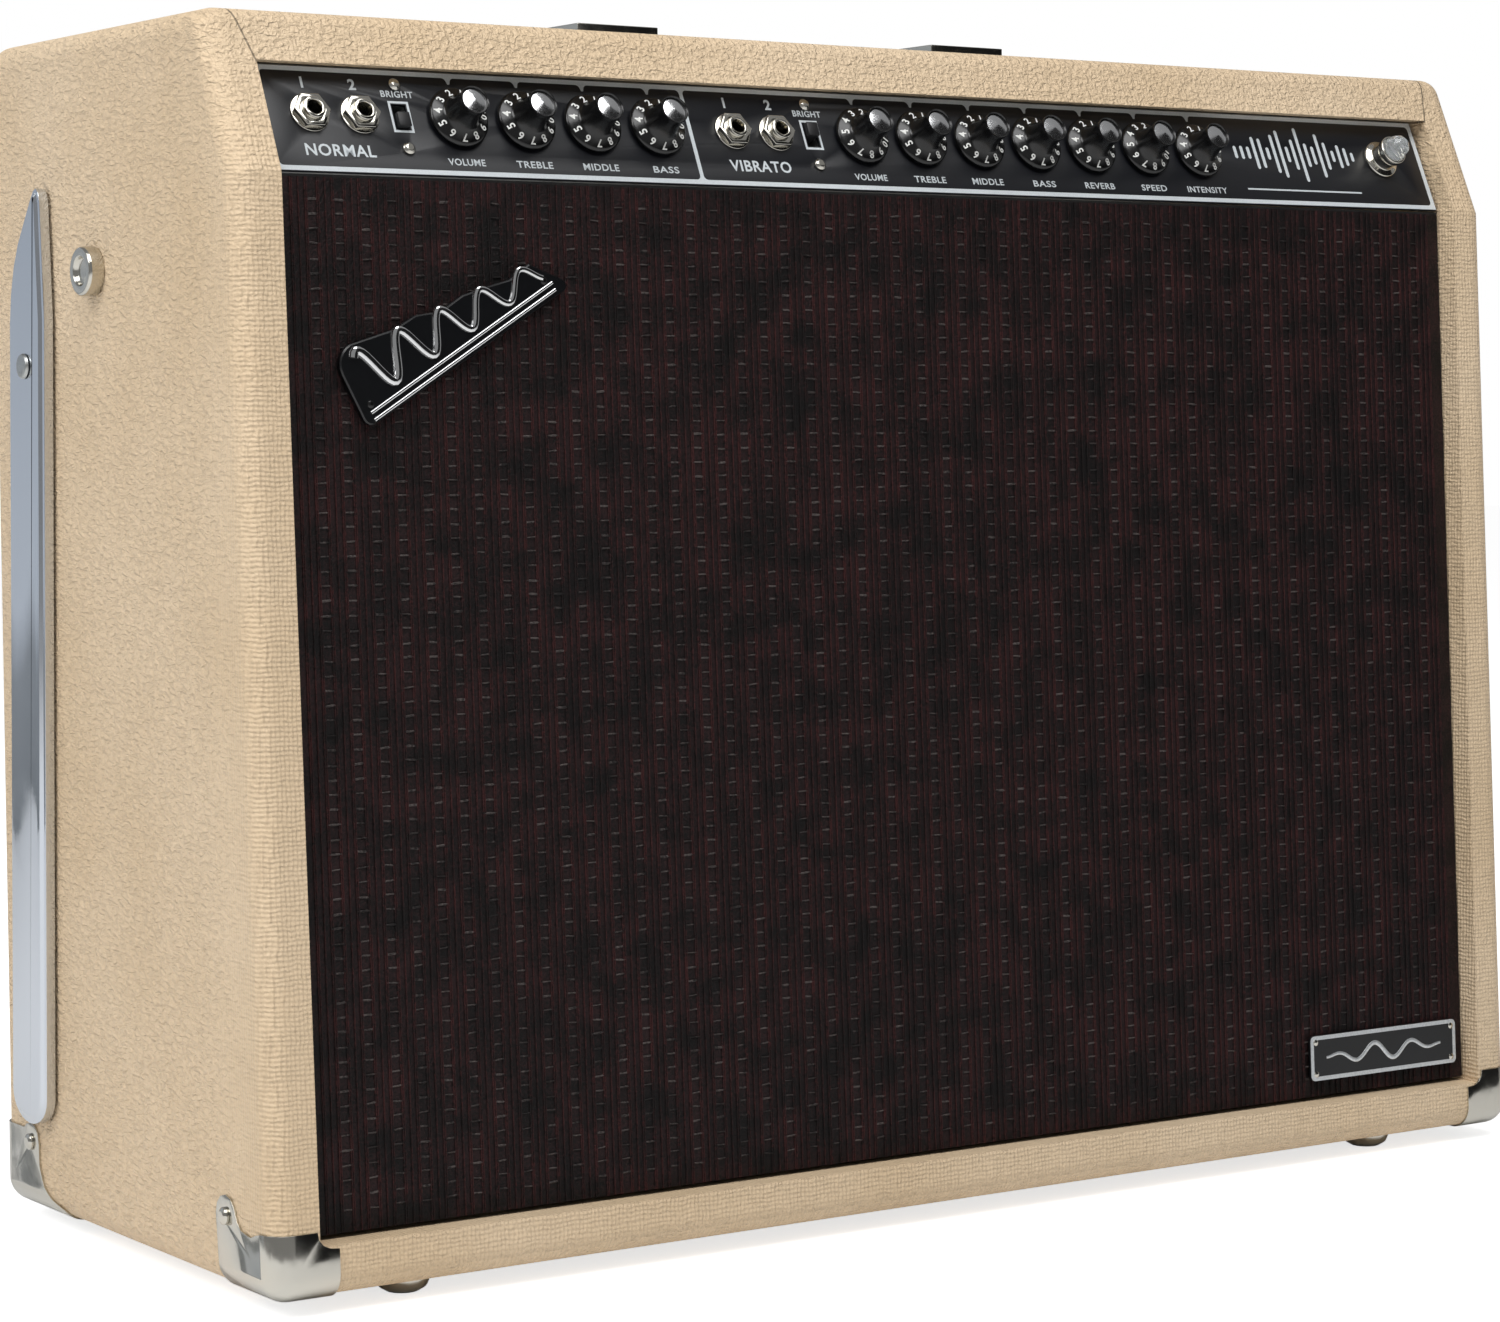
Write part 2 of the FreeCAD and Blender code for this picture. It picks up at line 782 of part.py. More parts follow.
basket = joined("basket", [cut("pressed_basket", basket_wall, windows + basket_holes), terminal])

magnet = turned(
    "magnet",
    [
        ("0", "-basket_depth - magnet_depth"),
        ("magnet_radius - 2", "-basket_depth - magnet_depth"),
        ("magnet_radius", "-basket_depth - magnet_depth + 2"),
        ("magnet_radius", "-basket_depth"),
        ("coil_radius + 1.2", "-basket_depth"),
        ("coil_radius + 1.2", "-basket_depth - 18"),
        ("coil_radius - coil_wall - 1.2", "-basket_depth - 18"),
        ("coil_radius - coil_wall - 1.2", "-basket_depth"),
        ("0", "-basket_depth"),
    ],
)
surround = turned(
    "surround",
    [
        ("cone_radius + 0.5", "-2.6"),
        ("cone_radius + 3", "-1.4"),
        ("cutout_radius - 7.5", "-1.4"),
        ("cutout_radius - 5", "-2.6"),
        ("cutout_radius - 5", "-3.8"),
        ("cone_radius + 0.5", "-3.8"),
    ],
)
spider = turned(
    "spider",
    [
        ("coil_radius + 0.5", "-basket_depth + 7"),
        ("magnet_radius + 16", "-basket_depth + 7"),
        ("magnet_radius + 16", "-basket_depth + 8"),
        ("coil_radius + 0.5", "-basket_depth + 8"),
    ],
)
cone = turned(
    "cone",
    [
        ("0", "-basket_depth + 24"),
        ("coil_radius * 0.7", "-basket_depth + 21"),
        ("coil_radius + 7", "-basket_depth + 18.5"),
        ("cone_radius", "-2.4"),
        ("cone_radius", "-3.8"),
        ("coil_radius", "-basket_depth + 13"),
        ("coil_radius", "-basket_depth - 10"),
        ("coil_radius - coil_wall", "-basket_depth - 10"),
        ("coil_radius - coil_wall", "-basket_depth + 15"),
        ("coil_radius * 0.7", "-basket_depth + 19.6"),
        ("0", "-basket_depth + 22.6"),
    ],
)


def on_baffle(thing, x, up="speaker_up", out=BAFFLE_REAR):
    """Stand an object behind the baffle, its Z axis out of the front."""
    return placed(
        thing,
        x,
        f"-cab_depth / 2 + ({up}) * sin(front_lean) - {out} * cos(front_lean)",
        f"foot_height + ({up}) * cos(front_lean) + {out} * sin(front_lean)",
        (1, 0, 0),
        "90 - front_lean",
    )


speaker_parts = {
    "speaker_baskets": basket,
    "speaker_magnets": magnet,
    "speaker_surrounds": surround,
    "speaker_spiders": spider,
}
for label, source in speaker_parts.items():
    both = [on_baffle(copy_of(f"{label}_{side}", source), x) for side, x in SPEAKERS.items()]
    piece(label, group(label + "_pair", both))
for side, x in SPEAKERS.items():
    piece(f"speaker_cone_{side}", on_baffle(copy_of(f"cone_{side}", cone), x))
    for angle in BOLT_ANGLES:
        bolt_x, bolt_up = bolt_spot(x, angle)
        bolt = group(f"speaker_bolt_{side}_{angle}", [speaker_bolt])
        placed(bolt, axis=(1, 0, 0), angle="180")
        held = copy_of(f"held_bolt_{side}_{angle}", bolt)
        machine_bolts.append(on_baffle(held, bolt_x, bolt_up, f"({BAFFLE_REAR} - basket_sheet)"))

# Control panel: face plate and the chassis front share one set of openings

PANEL_HALF = f"({INNER_HALF} - panel_side_gap)"
BEHIND = "(-face_sheet - chassis_sheet)"
SHEETS = (f"{BEHIND} - 3", "5")


def knob_row(names, start):
    """Name and place of each knob along the panel."""
    return [(name, start + index * KNOB_PITCH) for index, name in enumerate(names)]


KNOBS = {
    f"normal_{name}": place for name, place in knob_row(NORMAL_KNOBS, NORMAL_KNOB_START)
}
KNOBS.update(
    {f"vibrato_{name}": place for name, place in knob_row(VIBRATO_KNOBS, VIBRATO_KNOB_START)}
)
SWITCHES = {"normal": NORMAL_SWITCH, "vibrato": VIBRATO_SWITCH}

panel_openings = []
for name, place in KNOBS.items():
    panel_openings.append(rod(f"{name}_hole", "bush_radius + 0.2", place, "control_line", SHEETS))
for index, place in enumerate(JACK_PLACES):
    panel_openings.append(rod(f"jack_hole_{index}", "jack_thread + 0.2", place, "control_line", SHEETS))
for name, place in SWITCHES.items():
    slot = box(
        f"{name}_switch_slot",
        (f"{place} - slider_width / 2 - 0.4", f"{place} + slider_width / 2 + 0.4"),
        (
            "control_line - (slider_length + slider_travel) / 2 - 0.4",
            "control_line + (slider_length + slider_travel) / 2 + 0.4",
        ),
        SHEETS,
    )
    panel_openings.append(slot)
    for end in (-1, 1):
        up = f"control_line + {end} * switch_screw_pitch / 2"
        panel_openings.append(rod(f"{name}_switch_hole_{end + 1}", "1.6", place, up, SHEETS))
panel_openings.append(rod("lamp_hole", "lamp_radius + 0.2", LAMP_PLACE, "control_line", SHEETS))
openings_set = group("panel_openings", panel_openings)
panel_tools = on_panel(copy_of("panel_tools", openings_set))

face_blank = box(
    "face_blank", (f"-{PANEL_HALF}", PANEL_HALF), ("0", PANEL_SPAN), ("-face_sheet", "0")
)
piece("faceplate", on_panel(cut("face", face_blank, [openings_set])))

# Chassis: a folded steel pan, open upwards, with a flange at each end for its bolts


def chassis_outline(wall, low, high):
    """Side outline of the pan between two heights, moved in by its wall."""
    depth = f"(face_sheet + ({wall}))"
    rear = f"chassis_rear - ({wall})"
    return [(slope_of_pan(low, depth), low), (rear, low), (rear, high), (slope_of_pan(high, depth), high)]


def slope_of_pan(height, depth):
    """Y of a plane parallel to the face plate at a height, some way behind its front."""
    return f"({PANEL_Y} + (({height}) - {PANEL_Z}) * tan(panel_lean) + ({depth}) / cos(panel_lean))"


pan_block = prism(
    "pan_block", "YZ_Plane", chassis_outline("0", CHASSIS_FLOOR, CHASSIS_TOP), "chassis_width"
)
pan_hollow = prism(
    "pan_hollow",
    "YZ_Plane",
    chassis_outline(
        "chassis_sheet", f"{CHASSIS_FLOOR} + chassis_sheet", f"{CHASSIS_TOP} - chassis_sheet"
    ),
    "chassis_width - 2 * chassis_sheet",
)
pan_mouth = prism(
    "pan_mouth",
    "YZ_Plane",
    chassis_outline("chassis_sheet", f"{CHASSIS_TOP} - 5", f"{CHASSIS_TOP} + 5"),
    "chassis_width - 2 * chassis_flange",
)

# Rear controls, from the left end seen from behind to the right: X runs the other way

REAR_LINE = f"({CHASSIS_FLOOR} + 21)"
INLET_X = "240"
POWER_X = "195"
OUTPUT_X = "150"
MUTE_X = "105"
LEVEL_X = "-60"
XLR_X = "-105"
SERVICE_X = "-150"
FOOT_JACK_X = "-205"
REAR_SHEETS = ("chassis_rear - chassis_sheet - 3", "chassis_rear + 3")
rear_openings = [
    box(
        "inlet_hole",
        (f"{INLET_X} - 14", f"{INLET_X} + 14"),
        REAR_SHEETS,
        (f"{REAR_LINE} - 10.2", f"{REAR_LINE} + 10.2"),
    ),
    rod("power_hole", "6.2", POWER_X, REAR_SHEETS, REAR_LINE),
    rod("mute_hole", "6.2", MUTE_X, REAR_SHEETS, REAR_LINE),
    rod("output_hole", "bush_radius + 0.2", OUTPUT_X, REAR_SHEETS, REAR_LINE),
    rod("level_hole", "bush_radius + 0.2", LEVEL_X, REAR_SHEETS, REAR_LINE),
    rod("xlr_hole", "11.5", XLR_X, REAR_SHEETS, REAR_LINE),
    box(
        "service_hole",
        (f"{SERVICE_X} - 4.2", f"{SERVICE_X} + 4.2"),
        REAR_SHEETS,
        (f"{REAR_LINE} - 1.9", f"{REAR_LINE} + 1.9"),
    ),
    rod("foot_jack_hole", "jack_thread + 0.2", FOOT_JACK_X, REAR_SHEETS, REAR_LINE),
]
LEAD_X = 67.5
LEAD_Y = 20
LEAD_SPREAD = 2.2
LEAD_TOP = 470
lead_hole = rod("lead_hole", "5", str(LEAD_X), str(LEAD_Y), (f"{CHASSIS_FLOOR} - 3", f"{CHASSIS_FLOOR} + 5"))
flange_holes = [
    rod(f"flange_hole_{index}", "2.7", x, y, (f"{CHASSIS_TOP} - 5", f"{CHASSIS_TOP} + 5"))
    for index, (x, y) in enumerate(TOP_BOLTS)
]
chassis_tools = [pan_hollow, pan_mouth, panel_tools, lead_hole] + rear_openings + flange_holes
piece("chassis", cut("pan", pan_block, chassis_tools))

# Potentiometers: body behind the panel, threaded bush, and a bore for the knob's shaft

pot_body = turned(
    "pot_body",
    [
        ("shaft_radius + running_fit", f"{BEHIND} - pot_depth + 1"),
        ("0", f"{BEHIND} - pot_depth + 1"),
        ("0", f"{BEHIND} - pot_depth"),
        ("pot_radius", f"{BEHIND} - pot_depth"),
        ("pot_radius", BEHIND),
        ("bush_radius", BEHIND),
        ("bush_radius", "4.2"),
        ("shaft_radius + running_fit", "4.2"),
    ],
)
pots = [on_panel(copy_of(f"{name}_pot", pot_body), place, "control_line") for name, place in KNOBS.items()]
pot_nut = cut(
    "pot_nut",
    hexagon("pot_nut_blank", "10", "0", "2.2"),
    [rod("pot_nut_bore", "bush_radius", z=("-1", "4"))],
)
nuts = [on_panel(copy_of(f"{name}_nut", pot_nut), place, "control_line") for name, place in KNOBS.items()]

# Knobs: skirted moulding, spun metal inlay, and the shaft that turns with them

SHAFT_TOP = "(knob_height - 3.2)"
knob_moulding = turned(
    "knob_moulding",
    [
        ("0", "knob_height - 0.9"),
        ("5.8", "knob_height - 0.9"),
        ("5.8", "knob_height - 0.2"),
        ("6.7", "knob_height - 0.6"),
        ("7.4", "7.5"),
        ("9.4", "4.6"),
        ("skirt_radius - 0.3", "knob_lift + 1.8"),
        ("skirt_radius", "knob_lift + 0.9"),
        ("skirt_radius - 0.2", "knob_lift"),
        ("6.4", "knob_lift"),
        ("6.4", "5.6"),
        ("shaft_radius", "5.6"),
        ("shaft_radius", SHAFT_TOP),
        ("0", SHAFT_TOP),
    ],
)
knob_inlay = turned(
    "knob_inlay",
    [
        ("0", "knob_height - 0.9"),
        ("5.8", "knob_height - 0.9"),
        ("5.8", "knob_height - 0.3"),
        ("0", "knob_height"),
    ],
)
shaft = rod("shaft", "shaft_radius", z=(f"{BEHIND} - pot_depth + 1.4", SHAFT_TOP))
for name, place in KNOBS.items():
    knob = group(f"{name}_parts", [knob_moulding, knob_inlay, shaft])
    piece(f"knob_{name}", on_panel(knob, place, "control_line"))

# Input jacks with their washers and nuts

jack_body = turned(
    "jack_body",
    [
        ("jack_bore", f"{BEHIND} - jack_depth"),
        ("9", f"{BEHIND} - jack_depth"),
        ("9", BEHIND),
        ("jack_thread", BEHIND),
        ("jack_thread", "5.6"),
        ("jack_bore", "5.6"),
    ],
)
piece("input_jacks", group("jacks", [
    on_panel(copy_of(f"jack_{index}", jack_body), place, "control_line")
    for index, place in enumerate(JACK_PLACES)
]))
jack_nut = group(
    "jack_nut",
    [
        cut(
            "nut_ring",
            hexagon("nut_blank", "14", "0.8", "3.6"),
            [rod("nut_bore", "jack_thread", z=("0", "5"))],
        ),
        cut(
            "washer",
            rod("washer_blank", "jack_washer", z=("0", "0.8")),
            [rod("washer_bore", "jack_thread", z=("-1", "2"))],
        ),
    ],
)
nuts += [
    on_panel(copy_of(f"jack_nut_{index}", jack_nut), place, "control_line")
    for index, place in enumerate(JACK_PLACES)
]

# Bright switches: a body behind the panel, two screws, and a slider that travels

SLOT_HALF = "((slider_length + slider_travel) / 2 + 0.35)"
switch_block = box(
    "switch_block",
    ("-7", "7"),
    ("-switch_screw_pitch / 2 - 2.2", "switch_screw_pitch / 2 + 2.2"),
    (f"{BEHIND} - 9", BEHIND),
)
switch_hollow = box(
    "switch_hollow",
    ("-slider_width / 2 - 0.35", "slider_width / 2 + 0.35"),
    (f"-{SLOT_HALF}", SLOT_HALF),
    (f"{BEHIND} - 8", "1"),
)
switch_holes = [
    rod(f"switch_hole_{end + 1}", "1.4", "0", f"{end} * switch_screw_pitch / 2", (f"{BEHIND} - 12", "1"))
    for end in (-1, 1)
]
switch_body = cut("switch_body", switch_block, [switch_hollow] + switch_holes)
slider_stem = box(
    "slider_stem",
    ("-slider_width / 2", "slider_width / 2"),
    ("-slider_length / 2", "slider_length / 2"),
    (f"{BEHIND} - 7.6", "2.6"),
)
switches = [
    on_panel(copy_of(f"{name}_switch", switch_body), place, "control_line")
    for name, place in SWITCHES.items()
]
SLIDER_REST = {"normal": "-slider_travel / 2", "vibrato": "slider_travel / 2"}
panel_screws = []
for name, place in SWITCHES.items():
    slider = copy_of(f"{name}_slider", slider_stem)
    piece(f"bright_slider_{name}", on_panel(slider, place, f"control_line + {SLIDER_REST[name]}"))
    for end in (-1, 1):
        held = copy_of(f"{name}_panel_screw_{end + 1}", machine_screw)
        panel_screws.append(on_panel(held, place, f"control_line + {end} * switch_screw_pitch / 2"))
piece("panel_screws", group("switch_screws", panel_screws))

# Pilot lamp: a nickel holder through the panel and a clear jewel in its mouth

lamp_holder = turned(
    "lamp_holder",
    [
        ("0", f"{BEHIND} - 20"),
        ("lamp_radius", f"{BEHIND} - 20"),
        ("lamp_radius", "0"),
        ("lamp_radius + 1.8", "0"),
        ("lamp_radius + 1.6", "1.6"),
        ("6.4", "2.4"),
        ("6.4", "7"),
        ("7.2", "8"),
        ("7.2", "11"),
        ("5.8", "11"),
        ("5.8", "9"),
        ("0", "9"),
    ],
)
jewel = turned(
    "jewel",
    [("0", "9"), ("5.8", "9"), ("5.8", "14"), ("4.9", "17.2"), ("2.6", "19"), ("0", "19.4")],
)
piece("pilot_lamp_holder", on_panel(copy_of("lamp_seat", lamp_holder), LAMP_PLACE, "control_line"))
piece("pilot_jewel", on_panel(copy_of("lamp_jewel", jewel), LAMP_PLACE, "control_line"))

# Rear connectors, controls and toggles: their own Z axis points out of the back


def on_rear(thing, x):
    """Stand an object on the chassis rear wall, its Z axis out of the back."""
    return placed(thing, x, "chassis_rear", REAR_LINE, (1, 0, 0), "-90")


inlet_shell = box("inlet_shell", ("-13.8", "13.8"), ("-10", "10"), ("-20", "0.8"))
inlet_flange = box("inlet_flange", ("-17", "17"), ("-12", "12"), ("0", "1.6"))
inlet_hollow = box("inlet_hollow", ("-12", "12"), ("-8", "8"), ("-16", "5"))
inlet_pins = [
    box(f"inlet_pin_{index}", (f"{x} - 1", f"{x} + 1"), (f"{y} - 2", f"{y} + 2"), ("-18", "-6"))
    for index, (x, y) in enumerate(((-7, 2), (0, -3), (7, 2)))
]
inlet_body = cut("inlet_body", joined("inlet_block", [inlet_shell, inlet_flange]), [inlet_hollow])
inlet = joined("inlet", [inlet_body] + inlet_pins)
xlr_body = turned(
    "xlr_body",
    [
        ("0", "-20"),
        ("11.3", "-20"),
        ("11.3", "0"),
        ("13", "0"),
        ("13", "1.6"),
        ("9.6", "1.6"),
        ("9.6", "-16"),
        ("0", "-16"),
    ],
)
xlr_pins = [
    rod(f"xlr_pin_{index}", "1.2", x, y, ("-18", "-5"))
    for index, (x, y) in enumerate(((-3.5, 1.5), (3.5, 1.5), (0, -3.8)))
]
xlr = joined("xlr", [xlr_body] + xlr_pins)
service_port = cut(
    "service_port",
    box("service_shell", ("-4", "4"), ("-1.7", "1.7"), ("-9", "0.4")),
    [box("service_mouth", ("-3.5", "3.5"), ("-1.2", "1.2"), ("-5", "2"))],
)
foot_jack = turned(
    "foot_jack",
    [
        ("jack_bore", "-chassis_sheet - jack_depth"),
        ("9", "-chassis_sheet - jack_depth"),
        ("9", "-chassis_sheet"),
        ("jack_thread", "-chassis_sheet"),
        ("jack_thread", "5.6"),
        ("jack_bore", "5.6"),
    ],
)
rear_nut = copy_of("rear_nut", jack_nut)
nuts.append(on_rear(copy_of("foot_jack_nut", rear_nut), FOOT_JACK_X))
toggle_body = turned(
    "toggle_body",
    [
        ("0", "-chassis_sheet - 18"),
        ("8.5", "-chassis_sheet - 18"),
        ("8.5", "-chassis_sheet"),
        ("6", "-chassis_sheet"),
        ("6", "7"),
        ("4.4", "7"),
        ("3.4", "-4"),
        ("0", "-4"),
    ],
)
rear_pot = turned(
    "rear_pot",
    [
        ("shaft_radius + running_fit", "-chassis_sheet - pot_depth + 1"),
        ("0", "-chassis_sheet - pot_depth + 1"),
        ("0", "-chassis_sheet - pot_depth"),
        ("pot_radius", "-chassis_sheet - pot_depth"),
        ("pot_radius", "-chassis_sheet"),
        ("bush_radius", "-chassis_sheet"),
        ("bush_radius", "4.2"),
        ("shaft_radius + running_fit", "4.2"),
    ],
)
pots += [on_rear(copy_of(f"rear_pot_{x}", rear_pot), x) for x in (OUTPUT_X, LEVEL_X)]
nuts += [on_rear(copy_of(f"rear_pot_nut_{x}", pot_nut), x) for x in (OUTPUT_X, LEVEL_X)]
switches += [on_rear(copy_of(f"toggle_{x}", toggle_body), x) for x in (POWER_X, MUTE_X)]
piece("switch_bodies", group("switch_set", switches))
piece("potentiometers", group("pots", pots))
piece("panel_nuts", group("nuts", nuts))
piece(
    "rear_connectors",
    group(
        "connectors",
        [
            on_rear(copy_of("inlet_at", inlet), INLET_X),
            on_rear(copy_of("xlr_at", xlr), XLR_X),
            on_rear(copy_of("service_at", service_port), SERVICE_X),
            on_rear(copy_of("foot_jack_at", foot_jack), FOOT_JACK_X),
        ],
    ),
)

rear_knob = turned(
    "rear_knob",
    [
        ("0", "14"),
        ("7.6", "14"),
        ("8.4", "13"),
        ("9", "1"),
        ("6.4", "1"),
        ("6.4", "5.6"),
        ("shaft_radius", "5.6"),
        ("shaft_radius", "12"),
        ("0", "12"),
    ],
)
rear_shaft = rod("rear_shaft", "shaft_radius", z=("-chassis_sheet - pot_depth + 1.4", "12"))
for label, x in (("output_selector_knob", OUTPUT_X), ("line_level_knob", LEVEL_X)):
    piece(label, on_rear(group(label + "_parts", [rear_knob, rear_shaft]), x))
lever = turned(
    "lever",
    [("0", "-2.6"), ("1.6", "-2"), ("1.6", "5"), ("2.6", "15"), ("2.2", "17"), ("0", "17.6")],
)
for label, x in (("power_toggle_lever", POWER_X), ("mute_toggle_lever", MUTE_X)):
    tilted = placed(
        copy_of(label + "_parts", lever),
        x,
        "chassis_rear",
        REAR_LINE,
        (1, 0, 0),
        "-90 + toggle_tilt",
    )
    piece(label, tilted)

# Electronics inside the pan

PAN_FLOOR = f"({CHASSIS_FLOOR} + chassis_sheet)"


def board_on_posts(name, x, y, thick_parts):
    """A circuit board on four posts, with its larger components."""
    low = f"({PAN_FLOOR} + 5)"
    parts = [box(name + "_board", x, y, (low, f"{low} + 1.6"))]
    for row, end_x in enumerate((f"{x[0]} + 5", f"{x[1]} - 5")):
        for column, end_y in enumerate((f"{y[0]} + 5", f"{y[1]} - 5")):
            parts.append(rod(f"{name}_post_{row}{column}", "2.5", end_x, end_y, (PAN_FLOOR, f"{low} + 0.5")))
    for index, (left, near, width, depth, high) in enumerate(thick_parts):
        parts.append(
            box(
                f"{name}_part_{index}",
                (f"{x[0]} + {left}", f"{x[0]} + {left + width}"),
                (f"{y[0]} + {near}", f"{y[0]} + {near + depth}"),
                (f"{low} + 1", f"{low} + 1.6 + {high}"),
            )
        )
    return joined(name, parts)


piece(
    "signal_board",
    board_on_posts(
        "signal_electronics",
        ("-280", "60"),
        ("-30", "55"),
        [
            (20, 15, 30, 30, 3),
            (80, 20, 22, 22, 4),
            (130, 12, 12, 12, 12),
            (160, 12, 12, 12, 12),
            (220, 30, 60, 20, 6),
        ],
    ),
)
terminal_block = box(
    "terminal_block",
    (f"{LEAD_X} - 6", "82"),
    (f"{LEAD_Y} - 5", f"{LEAD_Y} + 5"),
    (f"{LEAD_TOP}", f"{LEAD_TOP} + 8"),
)
amp_board = board_on_posts(
    "power_amp",
    ("75", "165"),
    ("-30", "80"),
    [(10, 10, 70, 28, 22), (0, 42, 12, 16, 16), (25, 55, 18, 18, 20), (60, 55, 18, 18, 20)],
)
piece("power_amp_module", joined("power_amp_whole", [amp_board, terminal_block]))
piece(
    "power_supply",
    board_on_posts(
        "supply",
        ("180", "285"),
        ("-30", "80"),
        [(12, 12, 40, 35, 24), (60, 12, 30, 30, 18), (15, 65, 26, 26, 24)],
    ),
)

# Handle: two end caps, a grip that lifts, and the flexible strap ends under the caps

caps = []
strap_ends = []
for side in (-1, 1):
    ends = ("cap_inner", "cap_outer") if side > 0 else ("-cap_outer", "-cap_inner")
    slot = ("cap_inner - 5", "cap_outer - 5") if side > 0 else ("-cap_outer + 5", "-cap_inner + 5")
    strap = ("grip_half + 0.4", "cap_outer - 7") if side > 0 else ("-cap_outer + 7", "-grip_half - 0.4")
    block = box(
        f"cap_block_{side + 1}",
        ends,
        ("handle_line - cap_width / 2", "handle_line + cap_width / 2"),
        (TOP, f"{TOP} + cap_height"),
    )
    hollow = box(
        f"cap_slot_{side + 1}",
        slot,
        ("handle_line - strap_width / 2 - 0.6", "handle_line + strap_width / 2 + 0.6"),
        (f"{TOP} - 1", f"{TOP} + strap_lift + strap_thick + 0.6"),
    )
    bore = rod(
        f"cap_bore_{side + 1}",
        "2.6",
        HANDLE_BOLTS[(side + 1) // 2][0],
        "handle_line",
        (TOP, f"{TOP} + 20"),
    )
    sink = rod(
        f"cap_sink_{side + 1}",
        "4.2",
        HANDLE_BOLTS[(side + 1) // 2][0],
        "handle_line",
        (f"{TOP} + cap_height - 1.25", f"{TOP} + 20"),
    )
    caps.append(cut(f"cap_{side + 1}", block, [hollow, bore, sink]))
    end = box(
        f"strap_end_{side + 1}",
        strap,
        ("handle_line - strap_width / 2", "handle_line + strap_width / 2"),
        (f"{TOP} + strap_lift", f"{TOP} + strap_lift + strap_thick"),
    )
    eye = box(
        f"strap_eye_{side + 1}",
        (f"{HANDLE_BOLTS[(side + 1) // 2][0]} - 9", f"{HANDLE_BOLTS[(side + 1) // 2][0]} + 9"),
        ("handle_line - 3.2", "handle_line + 3.2"),
        (TOP, f"{TOP} + 20"),
    )
    strap_ends.append(cut(f"strap_{side + 1}", end, [eye]))
piece("handle_end_caps", group("cap_pair", caps))
piece("handle_strap_ends", group("strap_pair", strap_ends))
grip = box(
    "grip",
    ("-grip_half", "grip_half"),
    ("handle_line - strap_width / 2 - 1", "handle_line + strap_width / 2 + 1"),
    (f"{TOP} + strap_lift", f"{TOP} + strap_lift + strap_thick + 1"),
)
piece("handle_grip", grip)

# Tilt-back legs: pressed channels that hang from a pivot screw, and their stops

leg_outline = [
    ("-leg_half", "20"),
    ("-leg_half + 5", "leg_above - 4"),
    ("-leg_half + 7", "leg_above"),
    ("-leg_half + 11", "leg_above"),
    ("-leg_half + 15", "leg_above - 5"),
    ("leg_half - 9", "55"),
    ("leg_half - 2", "36"),
    ("leg_half", "18"),
    ("leg_half", "-leg_below + 13"),
    ("leg_half - 6", "-leg_below + 4"),
    ("leg_half - 13", "-leg_below"),
    ("-leg_half + 13", "-leg_below"),
    ("-leg_half + 6", "-leg_below + 4"),
    ("-leg_half", "-leg_below + 13"),
]
channel_outline = [
    ("-leg_half + leg_wall", "20"),
    ("-leg_half + leg_wall + 3", "50"),
    ("-leg_half + leg_wall + 13", "50"),
    ("leg_half - leg_wall - 2", "34"),
    ("leg_half - leg_wall", "18"),
    ("leg_half - leg_wall", "-leg_below + 16"),
    ("-leg_half + leg_wall", "-leg_below + 16"),
]
leg_block = prism("leg_block", "YZ_Plane", leg_outline, "leg_thick")
leg_channel = prism("leg_channel", "YZ_Plane", channel_outline, "leg_thick")
placed(leg_channel, x="leg_wall")
leg_boss = rod("leg_boss", "9", ("-leg_thick / 2", "leg_thick / 2"))
leg_shell = joined("leg_shell", [cut("leg_pressing", leg_block, [leg_channel]), leg_boss])
leg = cut("leg", leg_shell, [rod("leg_bore", "3.05", ("-leg_thick", "leg_thick"))])
right_leg = mirrored("leg_for_right", leg)
LEG_X = "(cab_width / 2 + leg_gap + leg_thick / 2)"
pivots = []
stops = []
pivot_screw = turned(
    "pivot_screw",
    [
        ("0", "-18"),
        ("3", "-16"),
        ("3", "leg_gap + leg_thick + 0.3"),
        ("5.6", "leg_gap + leg_thick + 0.3"),
        ("5", "leg_gap + leg_thick + 1.5"),
        ("3", "leg_gap + leg_thick + 2.1"),
        ("0", "leg_gap + leg_thick + 2.1"),
    ],
)
pivot_washer = cut(
    "pivot_washer",
    rod("pivot_washer_blank", "8", z=("0", "leg_gap - 0.3")),
    [rod("pivot_washer_bore", "3", z=("-1", "leg_gap + 1"))],
)
stop_button = turned(
    "stop_button",
    [
        ("0", "0"),
        ("stop_radius", "0"),
        ("stop_radius", "stop_high - 1"),
        ("stop_radius - 0.8", "stop_high"),
        ("stop_radius - 4", "stop_high"),
        ("stop_radius - 5", "stop_high - 2.2"),
        ("0", "stop_high - 2.2"),
    ],
)
for side, facing, source in ((-1, "left", leg), (1, "right", right_leg)):
    hung = copy_of(f"leg_{facing}", source)
    placed(hung, f"{side} * {LEG_X}", "pivot_depth", "pivot_up", (1, 0, 0), "leg_lean")
    piece(f"tilt_leg_{facing}", hung)
    x = f"{side} * cab_width / 2"
    pivots.append(across(f"pivot_{facing}", pivot_screw, x, "pivot_depth", "pivot_up", facing))
    pivots.append(across(f"spacer_{facing}", pivot_washer, x, "pivot_depth", "pivot_up", facing))
    stops.append(across(f"stop_{facing}", stop_button, x, "stop_depth", "stop_up", facing))
piece("leg_pivot_screws", group("pivot_pair", pivots))
piece("leg_stops", group("stop_pair", stops))

# Badge and name plate, each a dark plate on pins that go through the cloth


